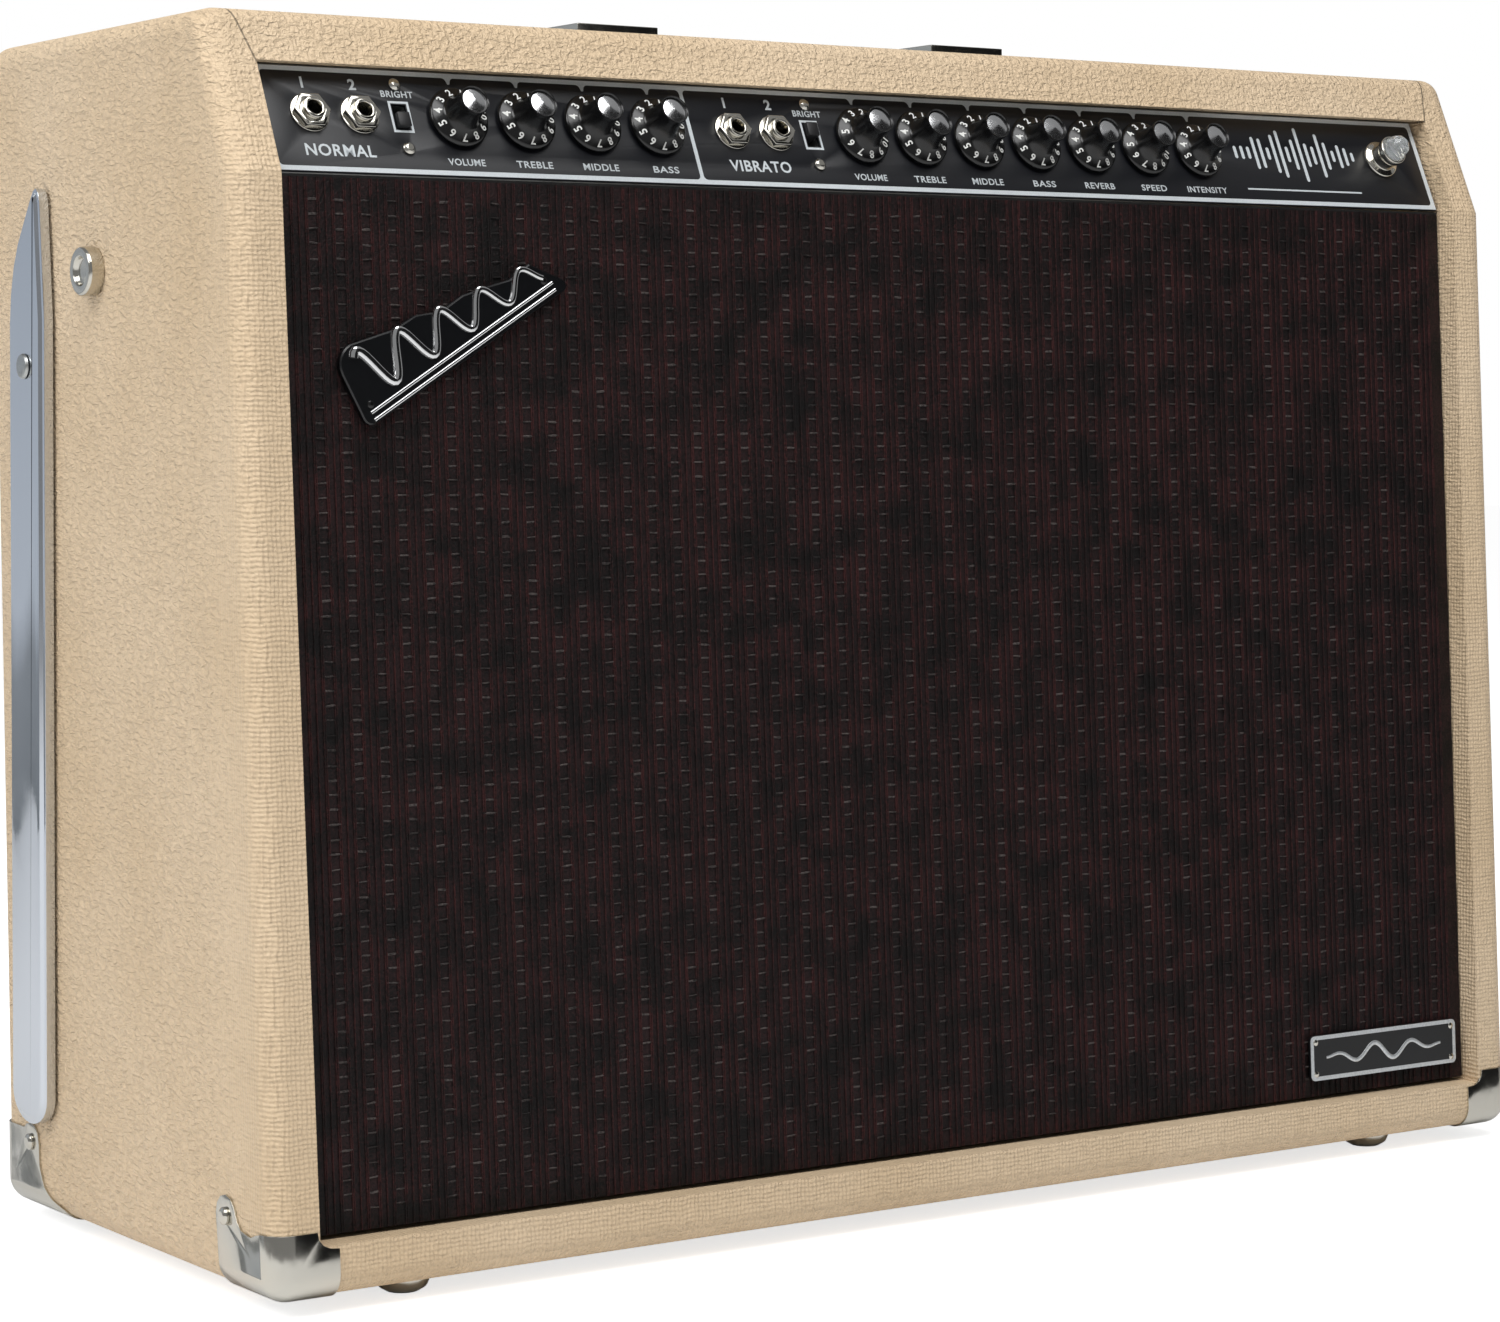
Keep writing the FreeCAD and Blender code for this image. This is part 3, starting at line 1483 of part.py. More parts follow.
def plate_on_cloth(name, centre, up, width, high, thick, tilt):
    """A plate standing just clear of the cloth, with its four pins."""
    plate = box(
        name + "_plate",
        (f"-{width} / 2", f"{width} / 2"),
        (f"-{high} / 2", f"{high} / 2"),
        ("0.6", f"0.6 + {thick}"),
    )
    pins = [
        rod(
            f"{name}_pin_{sx + 1}{sy + 1}",
            "0.8",
            f"{sx} * ({width} / 2 - 5)",
            f"{sy} * ({high} / 2 - 4)",
            ("-8", "1"),
        )
        for sx in (-1, 1)
        for sy in (-1, 1)
    ]
    turned_plate = placed(joined(name, [plate] + pins), axis=(0, 0, 1), angle=tilt)
    return on_baffle(copy_of(name + "_at", turned_plate), centre, up, "-grille_recess")


piece("badge", plate_on_cloth("badge_form", "-236", "382", "112", "34", "5", "27"))
piece("name_plate", plate_on_cloth("name_plate_form", "260.8", "41.5", "94.5", "21.7", "1.8", "0"))

# Speaker leads: from the grommet in the pan down to the terminals on the two baskets


def lead_path(points):
    """Straight runs joined by tangent arcs, each as large as its two runs allow."""
    edges = []
    radii = []
    start = points[0]
    for before, corner, after in zip(points, points[1:], points[2:]):
        incoming = corner - before
        outgoing = after - corner
        half_turn = incoming.getAngle(outgoing) / 2
        setback = 0.45 * min(incoming.Length, outgoing.Length)
        radius = setback / math.tan(half_turn)
        first = corner - incoming.normalize() * setback
        last = corner + outgoing.normalize() * setback
        inward = (first + last) * 0.5 - corner
        centre = corner + inward.normalize() * (radius / math.cos(half_turn))
        middle = centre + (corner - centre).normalize() * radius
        edges.append(Part.LineSegment(start, first).toShape())
        edges.append(Part.Arc(first, middle, last).toShape())
        radii.append(radius)
        start = last
    edges.append(Part.LineSegment(start, points[-1]).toShape())
    return Part.Wire(edges), radii


LEAD_RADIUS = 1.8
JOINT_UP = "(speaker_up + magnet_radius + 32)"
JOINT_DEPTH = f"(basket_depth + 1.95 - {BAFFLE_REAR})"
JOINT_Y = number(f"-{BACK} + {JOINT_UP} * sin(front_lean) + {JOINT_DEPTH} * cos(front_lean)")
JOINT_Z = number(f"foot_height + {JOINT_UP} * cos(front_lean) - {JOINT_DEPTH} * sin(front_lean)")
JOINT_X = number("speaker_side")
LEAD_ROUTES = {
    "left": [
        (LEAD_X - LEAD_SPREAD, LEAD_Y, LEAD_TOP),
        (LEAD_X - LEAD_SPREAD, LEAD_Y, 437),
        (48, 22, 402),
        (4, 25, 384),
        (-50, 26, 380),
        (-102, 24, 370),
        (17.5 - JOINT_X, JOINT_Y + 31.2, JOINT_Z + 34),
        (-JOINT_X, JOINT_Y + 18.2, JOINT_Z + 8),
        (-JOINT_X, JOINT_Y, JOINT_Z),
    ],
    "right": [
        (LEAD_X + LEAD_SPREAD, LEAD_Y, LEAD_TOP),
        (LEAD_X + LEAD_SPREAD, LEAD_Y, 437),
        (80, 22, 404),
        (108, 24, 380),
        (JOINT_X - 21.5, JOINT_Y + 35.2, JOINT_Z + 44),
        (JOINT_X - 2.5, JOINT_Y + 23.2, JOINT_Z + 18),
        (JOINT_X, JOINT_Y, JOINT_Z),
    ],
}
leads = []
for side, route in LEAD_ROUTES.items():
    path, radii = lead_path([FreeCAD.Vector(*point) for point in route])
    start = path.Edges[0]
    section = Part.Wire(Part.makeCircle(LEAD_RADIUS, start.Vertexes[0].Point, start.tangentAt(0)))
    tube = path.makePipeShell([section], True, False)
    ideal = math.pi * LEAD_RADIUS**2 * path.Length
    print(
        f"lead {side}: length {path.Length:.0f}, volume ratio {tube.Volume / ideal:.4f}, radii",
        [round(r) for r in radii],
    )
    leads.append(tube)
lead_pair = doc.addObject("Part::Feature", "lead_pair")
lead_pair.Shape = Part.makeCompound(leads)
piece("speaker_leads", lead_pair)

piece("machine_bolts", group("bolt_set", machine_bolts))
piece("wood_screws", group("screw_set", wood_screws))

# Checks and hand-over

doc.recompute()
for thing in doc.Objects:
    if "Invalid" in thing.State or "Error" in thing.State:
        raise RuntimeError(f"{thing.Name} did not rebuild: {thing.State}")
os.makedirs("parts", exist_ok=True)
for thing in pieces:
    if thing.Shape.isNull() or not thing.Shape.isValid():
        raise RuntimeError(f"{thing.Label} has no valid shape")
for thing in pieces:
    thing.Shape.exportStep(f"parts/{thing.Label}.step")
    print(f"{thing.Label}: {len(thing.Shape.Solids)} solids, {thing.Shape.Volume / 1000:.1f} cm3")
print(len(pieces), "nodes")
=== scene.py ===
import json
import math

import bmesh
import bpy
from mathutils import Matrix, Vector


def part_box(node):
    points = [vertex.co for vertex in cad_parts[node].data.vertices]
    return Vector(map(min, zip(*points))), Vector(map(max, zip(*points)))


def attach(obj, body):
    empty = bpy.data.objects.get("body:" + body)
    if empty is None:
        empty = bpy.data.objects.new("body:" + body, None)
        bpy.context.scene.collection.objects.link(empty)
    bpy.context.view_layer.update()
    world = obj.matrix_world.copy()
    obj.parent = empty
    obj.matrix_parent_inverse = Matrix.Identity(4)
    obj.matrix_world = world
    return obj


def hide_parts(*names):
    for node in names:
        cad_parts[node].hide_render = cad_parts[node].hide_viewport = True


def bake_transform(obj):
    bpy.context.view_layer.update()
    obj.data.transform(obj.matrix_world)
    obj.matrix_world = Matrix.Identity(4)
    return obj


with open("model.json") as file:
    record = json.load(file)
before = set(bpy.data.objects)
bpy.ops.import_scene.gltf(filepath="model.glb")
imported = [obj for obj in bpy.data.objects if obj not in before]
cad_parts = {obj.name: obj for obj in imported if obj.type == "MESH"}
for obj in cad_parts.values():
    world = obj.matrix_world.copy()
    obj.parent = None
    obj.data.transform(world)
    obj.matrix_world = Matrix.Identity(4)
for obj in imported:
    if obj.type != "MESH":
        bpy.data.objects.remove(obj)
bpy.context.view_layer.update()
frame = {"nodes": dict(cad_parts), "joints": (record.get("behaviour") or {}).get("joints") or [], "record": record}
nodes = frame["nodes"]
joints = {joint["name"]: joint for joint in frame["joints"]}


# Cabinet shell: pine boards 19 mm thick, finger jointed at the corners and glued, with battens screwed inside.
# The bare wood shows only inside the open back, where it is plain sanded pine that has yellowed a little.
def linear(hex_colour):
    """The linear colour of an sRGB hex value."""
    channels = [int(hex_colour[i:i + 2], 16) / 255 for i in (1, 3, 5)]
    return [c / 12.92 if c <= 0.04045 else ((c + 0.055) / 1.055) ** 2.4 for c in channels] + [1.0]


def add(tree, kind, inputs=None, stops=(), **settings):
    """Adds a node: inputs maps its sockets to values or to the outputs that feed them, stops fills a colour ramp."""
    node = tree.nodes.new(kind)
    for name, value in settings.items():
        setattr(node, name, value)
    for socket, value in (inputs or {}).items():
        if isinstance(value, bpy.types.NodeSocket):
            tree.links.new(value, node.inputs[socket])
        else:
            node.inputs[socket].default_value = value
    for i, (place, hex_colour) in enumerate(stops):
        marks = node.color_ramp.elements
        mark = marks[i] if i < 2 else marks.new(place)
        mark.position, mark.color = place, linear(hex_colour)
    return node


def finish(name, **sockets):
    """A new material with one Principled shader; a socket's name has _ for each space."""
    made = bpy.data.materials.new(name)
    made.use_nodes = True
    tree = made.node_tree
    tree.nodes.clear()
    values = {socket.replace("_", " "): value for socket, value in sockets.items()}
    shader = add(tree, "ShaderNodeBsdfPrincipled", values)
    add(tree, "ShaderNodeOutputMaterial", {"Surface": shader.outputs["BSDF"]})
    place = add(tree, "ShaderNodeTexCoord").outputs["Object"]
    return made, tree, shader, place


def raise_by(tree, shader, height, strength, distance):
    """Raises the surface where the height is larger, by a distance in metres."""
    bump = add(tree, "ShaderNodeBump", {"Height": height, "Strength": strength, "Distance": distance})
    tree.links.new(bump.outputs[0], shader.inputs["Normal"])


def dress(node, material):
    """Gives a carried-over CAD solid its material."""
    mesh = nodes[node].data
    mesh.materials.clear()
    mesh.materials.append(material)


pine, tree, shader, place = finish("sanded_pine", Roughness=0.62, IOR=1.5)
along_board = add(tree, "ShaderNodeMapping", {"Vector": place, "Scale": (6.0, 60.0, 60.0)})
growth = add(tree, "ShaderNodeTexNoise", {"Vector": along_board.outputs[0], "Scale": 1.6, "Detail": 6.0,
                                          "Distortion": 0.8})
grain = add(tree, "ShaderNodeValToRGB", {"Fac": growth.outputs["Fac"]},
            stops=((0.30, "#b98f5c"), (0.52, "#d9b887"), (0.75, "#c9a26d")))
tree.links.new(grain.outputs[0], shader.inputs["Base Color"])
raise_by(tree, shader, growth.outputs["Fac"], 0.3, 0.0004)
for node in ("side_panel_left", "side_panel_right", "bottom_panel", "top_panel", "cabinet_battens"):
    dress(node, pine)


# Covering: PVC-faced cloth, embossed by rollers with a rough linen grain, glued round every outside face of the
# cabinet and the back panels. It is matt with a faint sheen, and the linen threads show most on the round edges.
THREAD_PITCH = 0.00195
RIDGE_PITCH = 0.0052
SEAM_FOOT, SEAM_HEAD, SEAM_HALF = (0.3157, 0.494), (0.3222, 0.5155), 0.00045
vinyl, tree, shader, place = finish("embossed_vinyl_blond", Roughness=0.52, IOR=1.5, Specular_IOR_Level=0.42)
wander = add(tree, "ShaderNodeTexNoise", {"Vector": place, "Scale": 0.6 / RIDGE_PITCH, "Detail": 2.0})
pushed = add(tree, "ShaderNodeVectorMath", {0: wander.outputs["Color"], 1: (0.0022, 0.0022, 0.0022)},
             operation="MULTIPLY")
bent = add(tree, "ShaderNodeVectorMath", {0: place, 1: pushed.outputs[0]}, operation="ADD")
threads = []
for axis in "XYZ":
    rows = add(tree, "ShaderNodeTexWave", {"Vector": bent.outputs[0], "Scale": 0.314159 / THREAD_PITCH,
                                           "Distortion": 0.6, "Detail": 1.0, "Detail Scale": 1.5},
               wave_type="BANDS", bands_direction=axis, wave_profile="SIN")
    threads.append(rows.outputs["Fac"])
crossed = add(tree, "ShaderNodeMath", {0: threads[0], 1: threads[1]}, operation="ADD")
linen = add(tree, "ShaderNodeMath", {0: crossed.outputs[0], 1: threads[2]}, operation="ADD")
flattened = add(tree, "ShaderNodeMapping", {"Vector": bent.outputs[0], "Scale": (1.0, 0.50, 1.25)})
ridges = add(tree, "ShaderNodeTexNoise", {"Vector": flattened.outputs[0], "Scale": 2.2 / RIDGE_PITCH, "Detail": 2.0,
                                          "Roughness": 0.5, "Distortion": 0.5})
pebbles = add(tree, "ShaderNodeMapRange", {"Value": ridges.outputs["Fac"], "From Min": 0.34, "From Max": 0.66})
woven = add(tree, "ShaderNodeMath", {0: linen.outputs[0], 1: 3.0}, operation="DIVIDE")
# The linen is pressed hardest where the cloth is pulled round the front edges.
depth = add(tree, "ShaderNodeSeparateXYZ", {"Vector": place})
front_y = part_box("vinyl_covering")[0].y
near_front = add(tree, "ShaderNodeMapRange", {"Value": depth.outputs["Y"], "From Min": front_y + 0.012,
                                              "From Max": front_y + 0.052, "To Min": 0.80, "To Max": 0.16})
relief = add(tree, "ShaderNodeMix", {0: near_front.outputs[0], 2: pebbles.outputs[0], 3: woven.outputs[0]},
             data_type="FLOAT")
raise_by(tree, shader, relief.outputs[0], 0.95, 0.0012)
cloudy = add(tree, "ShaderNodeTexNoise", {"Vector": place, "Scale": 9.0, "Detail": 2.0})
tone = add(tree, "ShaderNodeValToRGB", {"Fac": cloudy.outputs["Fac"]}, stops=((0.3, "#dcc29f"), (0.7, "#e6ceae")))
# The hollows of the emboss are painted a little darker, as painted shade where light falls less into them.
hollow_shade = add(tree, "ShaderNodeMapRange", {"Value": relief.outputs[0], "From Min": 0.05, "From Max": 0.45,
                                           "To Min": 0.91, "To Max": 1.0})
# A lapped seam runs up from each inner corner of the panel recess and back across the top; its line is painted dark, as
# painted shade in the lap.
sideways = add(tree, "ShaderNodeMath", {0: depth.outputs["X"]}, operation="ABSOLUTE")
seam_line = add(tree, "ShaderNodeMapRange", {"Value": depth.outputs["Z"], "From Min": SEAM_FOOT[1],
                                             "From Max": SEAM_HEAD[1], "To Min": SEAM_FOOT[0],
                                             "To Max": SEAM_HEAD[0]})
from_seam = add(tree, "ShaderNodeMath", {0: sideways.outputs[0], 1: seam_line.outputs[0]}, operation="SUBTRACT")
on_seam = add(tree, "ShaderNodeMath", {0: from_seam.outputs[0], 1: 0.0, 2: SEAM_HALF}, operation="COMPARE")
above = add(tree, "ShaderNodeMath", {0: depth.outputs["Z"], 1: SEAM_FOOT[1] - 0.0005}, operation="GREATER_THAN")
seam = add(tree, "ShaderNodeMath", {0: on_seam.outputs[0], 1: above.outputs[0]}, operation="MULTIPLY")
# The seam's dark line and the darker emboss hollows are painted shade, multiplied into the vinyl's colour.
painted_seam_and_hollow_shade = add(tree, "ShaderNodeMath", {0: seam.outputs[0], 1: -0.62, 2: hollow_shade.outputs[0]},
              operation="MULTIPLY_ADD")
shaded = add(tree, "ShaderNodeMix", {0: 1.0, 6: tone.outputs[0], 7: painted_seam_and_hollow_shade.outputs[0]},
             data_type="RGBA", blend_type="MULTIPLY")
tree.links.new(shaded.outputs[2], shader.inputs["Base Color"])
for node in ("vinyl_covering", "lower_back_panel", "upper_back_panel"):
    dress(node, vinyl)


# Corner protectors, glides and leg stops: pressed steel, nickel plated and buffed, then screwed on over the vinyl.
# Nickel is a warm, slightly soft mirror. Pressing leaves every rim rounded, which catches a thin line of light.
body_of = {node: body for body, members in frame["record"]["behaviour"]["bodies"].items() for node in members}


def linked(name, data):
    """A new object of that mesh, curve, light or camera, in the scene."""
    made = bpy.data.objects.new(name, data)
    bpy.context.scene.collection.objects.link(made)
    return made


def baked(bm, name):
    """The mesh of a finished bmesh, which is let go."""
    mesh = bpy.data.meshes.new(name)
    bm.to_mesh(mesh)
    bm.free()
    return mesh


def plain_mesh(piece):
    """The piece's mesh with its modifiers worked in."""
    seen = piece.evaluated_get(bpy.context.evaluated_depsgraph_get())
    return bpy.data.meshes.new_from_object(seen)


def smooth(mesh, crease=35.0):
    """Shades a mesh smoothly, except across edges sharper than the crease angle."""
    mesh.polygons.foreach_set("use_smooth", [True] * len(mesh.polygons))
    mesh.set_sharp_from_angle(angle=math.radians(crease))
    return mesh


def show(name, mesh, *replaced, body=None, slot=None):
    """Puts a finished mesh on its body, standing for the CAD solids named."""
    piece = linked(name, mesh)
    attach(piece, body or body_of[replaced[0]])
    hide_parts(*replaced)
    return piece


def fitted(name, mesh):
    """Puts a finished mesh that stands for no CAD solid on the cabinet."""
    piece = linked(name, mesh)
    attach(piece, "cabinet")
    return piece


def deburred(node, material, edge=0.0003, crease=30.0, steps=2):
    """A joined copy of a CAD solid, with its sharp edges rounded off, in place of that solid."""
    bm = bmesh.new()
    bm.from_mesh(nodes[node].data)
    bmesh.ops.remove_doubles(bm, verts=bm.verts, dist=2e-6)
    bmesh.ops.dissolve_limit(bm, angle_limit=math.radians(0.6), verts=bm.verts, edges=bm.edges)
    blank = linked(node + "_blank", baked(bm, node + "_joined"))
    rim = blank.modifiers.new("rounded_rims", "BEVEL")
    rim.width, rim.segments = edge, steps
    rim.limit_method, rim.angle_limit = "ANGLE", math.radians(crease)
    rim.use_clamp_overlap = True
    rounded = plain_mesh(blank)
    bpy.data.objects.remove(blank)
    rounded.materials.clear()
    rounded.materials.append(material)
    return show(node + "_finished", smooth(rounded), node)


def worn_metal(name, colour, roughness, grain_size, streak=(1, 1, 1), marks=0.06, waviness=0.00002):
    """A bare or plated metal: faint clouding in its gloss, and the waviness or scratches its polishing left."""
    made, tree, shader, place = finish(name, Metallic=1.0, Base_Color=linear(colour), Roughness=roughness)
    drawn = add(tree, "ShaderNodeMapping", {"Vector": place, "Scale": streak})
    cloud = add(tree, "ShaderNodeTexNoise", {"Vector": drawn.outputs[0], "Scale": 1 / grain_size, "Detail": 4.0})
    gloss = add(tree, "ShaderNodeMapRange", {"Value": cloud.outputs["Fac"], "From Min": 0.3, "From Max": 0.7,
                                             "To Min": max(0.02, roughness - marks), "To Max": roughness + marks})
    tree.links.new(gloss.outputs[0], shader.inputs["Roughness"])
    raise_by(tree, shader, cloud.outputs["Fac"], 0.25, waviness)
    return made


nickel = worn_metal("buffed_nickel_plate", "#c9c6bd", 0.14, 0.006, waviness=0.00006)
chrome = worn_metal("polished_chrome_plate", "#d3d8df", 0.09, 0.020, waviness=0.00012)
zinc = worn_metal("brushed_zinc_plated_steel", "#b4b6b4", 0.36, 0.0016, streak=(0.12, 1, 1), marks=0.10)
for node, edge in (("corner_protectors", 0.00045), ("glide_feet", 0.0008), ("leg_stops", 0.0005),
                   ("wood_screws", 0.0002), ("machine_bolts", 0.0002)):
    deburred(node, nickel, edge)


# Baffle board: plywood sprayed matt black, so that it doesn't show through the cloth. It is rough where the
# grain lifts under the thin paint.
black_board, tree, shader, place = finish("matt_black_sprayed_plywood", Roughness=0.85, IOR=1.45)
lifted = add(tree, "ShaderNodeMapping", {"Vector": place, "Scale": (0.15, 1, 1)})
fuzz = add(tree, "ShaderNodeTexNoise", {"Vector": lifted.outputs[0], "Scale": 700.0, "Detail": 3.0})
paint = add(tree, "ShaderNodeValToRGB", {"Fac": fuzz.outputs["Fac"]}, stops=((0.35, "#121212"), (0.7, "#232221")))
tree.links.new(paint.outputs[0], shader.inputs["Base Color"])
raise_by(tree, shader, fuzz.outputs["Fac"], 0.5, 0.0002)
dress("baffle_board", black_board)


# Loudspeakers: pressed steel baskets powder coated black, neodymium magnets in plated covers, pressed paper cones
# with doped cloth edges, and a resin-set yellow cotton spider that centres each voice coil.
def grained(name, colours, roughness, grain_size, relief=0.0001, strength=0.4, **sockets):
    """A plastic, paint, paper or rubber whose colour and surface vary with one fine grain."""
    made, tree, shader, place = finish(name, Roughness=roughness, **sockets)
    grain = add(tree, "ShaderNodeTexNoise", {"Vector": place, "Scale": 1 / grain_size, "Detail": 4.0,
                                             "Roughness": 0.6})
    shade = add(tree, "ShaderNodeValToRGB", {"Fac": grain.outputs["Fac"]}, stops=((0.3, colours[0]), (0.7, colours[1])))
    tree.links.new(shade.outputs[0], shader.inputs["Base Color"])
    raise_by(tree, shader, grain.outputs["Fac"], strength, relief)
    return made


powder_coat = grained("black_powder_coat", ("#101011", "#1c1c1e"), 0.42, 0.0006)
magnet_cover = grained("black_phosphated_steel", ("#1b1c1e", "#2c2e31"), 0.34, 0.0012, Metallic=0.6)
paper = grained("pressed_paper_pulp", ("#2a2724", "#3b3631"), 0.88, 0.0014, relief=0.0003, strength=0.6)
doped_cloth = grained("doped_edge_cloth", ("#15110f", "#27201c"), 0.46, 0.0007)
spider_cotton = grained("resin_set_cotton", ("#a37a35", "#c79c52"), 0.80, 0.0009, strength=0.7)
deburred("speaker_baskets", powder_coat, edge=0.0005)
deburred("speaker_magnets", magnet_cover, edge=0.0009)


def turned(profile, around=48):
    """A closed mesh turned about Z from (radius, height) points; its faces point outwards."""
    bm = bmesh.new()
    rings = []
    for radius, height in profile:
        turns = around if radius > 1e-7 else 1
        angles = [2 * math.pi * i / around for i in range(turns)]
        rings.append([bm.verts.new((radius * math.cos(a), radius * math.sin(a), height)) for a in angles])
    closed = profile[0][0] > 1e-7
    for low, high in zip(rings, rings[1:] + rings[:1] * closed):
        for i in range(around):
            corners = [low[i % len(low)], low[(i + 1) % len(low)], high[(i + 1) % len(high)], high[i % len(high)]]
            bm.faces.new(sorted(set(corners), key=corners.index))
    bmesh.ops.recalc_face_normals(bm, faces=bm.faces)
    return baked(bm, "turned")


def assembled(name, parts, crease=35.0):
    """One mesh out of (mesh, material, matrix) parts."""
    whole = bmesh.new()
    materials = []
    for mesh, material, matrix in parts:
        if material not in materials:
            materials.append(material)
        first = len(whole.faces)
        placed = mesh.copy()
        placed.transform(matrix)
        whole.from_mesh(placed)
        whole.faces.ensure_lookup_table()
        for face in whole.faces[first:]:
            face.material_index = materials.index(material)
    made = baked(whole, name)
    for material in materials:
        made.materials.append(material)
    return smooth(made, crease)


def sloped(origin, up, out):
    """The matrix from (across, up, out) on a sloped face to the object's own axes."""
    turn = Matrix((up.cross(out), up, out)).transposed().to_4x4()
    return Matrix.Translation(origin) @ turn


def centre(node):
    """The middle of a node's box."""
    low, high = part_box(node)
    return (low + high) / 2


for side in ("left", "right"):
    deburred(f"speaker_cone_{side}", paper, edge=0.0002)
dress("speaker_surrounds", doped_cloth)
dress("speaker_spiders", spider_cotton)

# Speaker leads: two-core rubber lead from the amplifier's terminal block to each basket's solder lugs.
# Its jacket is soft, matt and black, and it hangs in the open back.
lead_rubber = grained("black_rubber_jacket", ("#0d0d0e", "#1a1a1b"), 0.55, 0.0006, relief=0.00005)
dress("speaker_leads", lead_rubber)


# Grille cloth: stretched wet over the baffle and stapled behind it. Thick twisted cords run up the cloth in ribs;
# between them short floats of a paler thread cross in rows. It is oxblood, near black, with a dull thread sheen.
baffle_out = Vector(joints["left_cone_travel"]["axis"])
baffle_up = Vector((0, -baffle_out.z, baffle_out.y)) * -1
cloth_low, cloth_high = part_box("grille_cloth")
CLOTH_THICK = 0.001
cloth_foot = Vector((0, cloth_low.y + CLOTH_THICK * 1.2, cloth_low.z))
cloth_height = (cloth_high.z - cloth_low.z) / baffle_up.z - 0.0012
cloth_width = cloth_high.x - cloth_low.x - 0.0008
cloth_face = sloped(cloth_foot, baffle_up, baffle_out)
RIB_PITCH = 0.0119
FLOAT_PITCH = 0.0059
FLOAT_LENGTH = 0.0058
CORD_RADIUS = 0.00042


def thread_finish(name, dark, light, sheen):
    """Rayon or cotton thread: twisted fibres that shine a little along their length."""
    made, tree, shader, place = finish(name, Roughness=0.62, Specular_IOR_Level=0.25, Sheen_Weight=sheen,
                                       Sheen_Roughness=0.4)
    twist = add(tree, "ShaderNodeTexNoise", {"Vector": place, "Scale": 1 / 0.0012, "Detail": 2.0})
    worn = add(tree, "ShaderNodeTexNoise", {"Vector": place, "Scale": 1 / 0.016, "Detail": 3.0})
    both = add(tree, "ShaderNodeMath", {0: twist.outputs["Fac"], 1: worn.outputs["Fac"]}, operation="MULTIPLY")
    shade = add(tree, "ShaderNodeValToRGB", {"Fac": both.outputs[0]}, stops=((0.16, dark), (0.36, light)))
    tree.links.new(shade.outputs[0], shader.inputs["Base Color"])
    raise_by(tree, shader, twist.outputs["Fac"], 1.0, 0.0005)
    return made


oxblood = thread_finish("oxblood_cotton_weave", "#040202", "#241314", 0.0)
red_cord = thread_finish("dark_red_rayon_cord", "#0a0404", "#381717", 0.02)
grey_float = thread_finish("grey_rayon_float", "#151212", "#4d4644", 0.02)

half = cloth_width / 2
SHEET_COLUMNS = 106
columns = [-half + cloth_width * i / SHEET_COLUMNS for i in range(SHEET_COLUMNS + 1)]
bm = bmesh.new()
sheet_rows = []
for up in (0, cloth_height / 2, cloth_height):
    row = []
    for i, x in enumerate(columns):
        row.append(bm.verts.new(cloth_face @ Vector((x, up, 0.00015 * (i % 2)))))
    sheet_rows.append(row)
for low, high in zip(sheet_rows, sheet_rows[1:]):
    for i in range(SHEET_COLUMNS):
        bm.faces.new((low[i], low[i + 1], high[i + 1], high[i]))
cloth_mesh = baked(bm, "grille_cloth_sheet")
cloth_mesh.materials.append(oxblood)
cloth = show("grille_cloth_sheet", cloth_mesh, "grille_cloth")
backing = cloth.modifiers.new("thickness", "SOLIDIFY")
backing.thickness, backing.offset = 0.0006, -1


def node_tree(name, sizes):
    """An empty Geometry Nodes tree with named inputs for its sizes."""
    tree = bpy.data.node_groups.new(name, "GeometryNodeTree")
    tree.interface.new_socket("Geometry", in_out="OUTPUT", socket_type="NodeSocketGeometry")
    for size, value in sizes.items():
        kind = "NodeSocketInt" if isinstance(value, int) else "NodeSocketFloat"
        tree.interface.new_socket(size, in_out="INPUT", socket_type=kind)
    return tree, tree.nodes.new("NodeGroupInput").outputs


def grown(tree, sizes, geometry, material):
    """Ends the tree, runs it with those sizes and returns the plain mesh."""
    real = add(tree, "GeometryNodeRealizeInstances", {"Geometry": geometry})
    coloured = add(tree, "GeometryNodeSetMaterial", {"Geometry": real.outputs[0], "Material": material})
    add(tree, "NodeGroupOutput", {"Geometry": coloured.outputs[0]})
    holder = linked(tree.name, bpy.data.meshes.new(tree.name))
    maker = holder.modifiers.new(tree.name, "NODES")
    maker.node_group = tree
    for socket in tree.interface.items_tree:
        if socket.in_out == "INPUT":
            maker[socket.identifier] = sizes[socket.name]
    mesh = plain_mesh(holder)
    bpy.data.objects.remove(holder)
    return mesh


# Cords: one runs up the middle of each rib and a pair runs up each of its sides, straight up the cloth.
sizes = {"Ribs": int(cloth_width / RIB_PITCH), "Rib Pitch": RIB_PITCH, "Height": cloth_height, "Radius": CORD_RADIUS}
tree, size = node_tree("upright_cords", sizes)
middle = add(tree, "ShaderNodeCombineXYZ", {"Y": size["Height"]})
line = add(tree, "GeometryNodeCurvePrimitiveLine", {"End": middle.outputs[0]})
ring = add(tree, "GeometryNodeCurvePrimitiveCircle", {"Resolution": 5, "Radius": size["Radius"]})
one_cord = add(tree, "GeometryNodeCurveToMesh", {"Curve": line.outputs[0], "Profile Curve": ring.outputs[0],
                                                 "Fill Caps": True})
step = add(tree, "ShaderNodeCombineXYZ", {"X": size["Rib Pitch"]})
ribs = add(tree, "GeometryNodeMeshLine", {"Count": size["Ribs"], "Offset": step.outputs[0]}, mode="OFFSET")
cord_sets = []
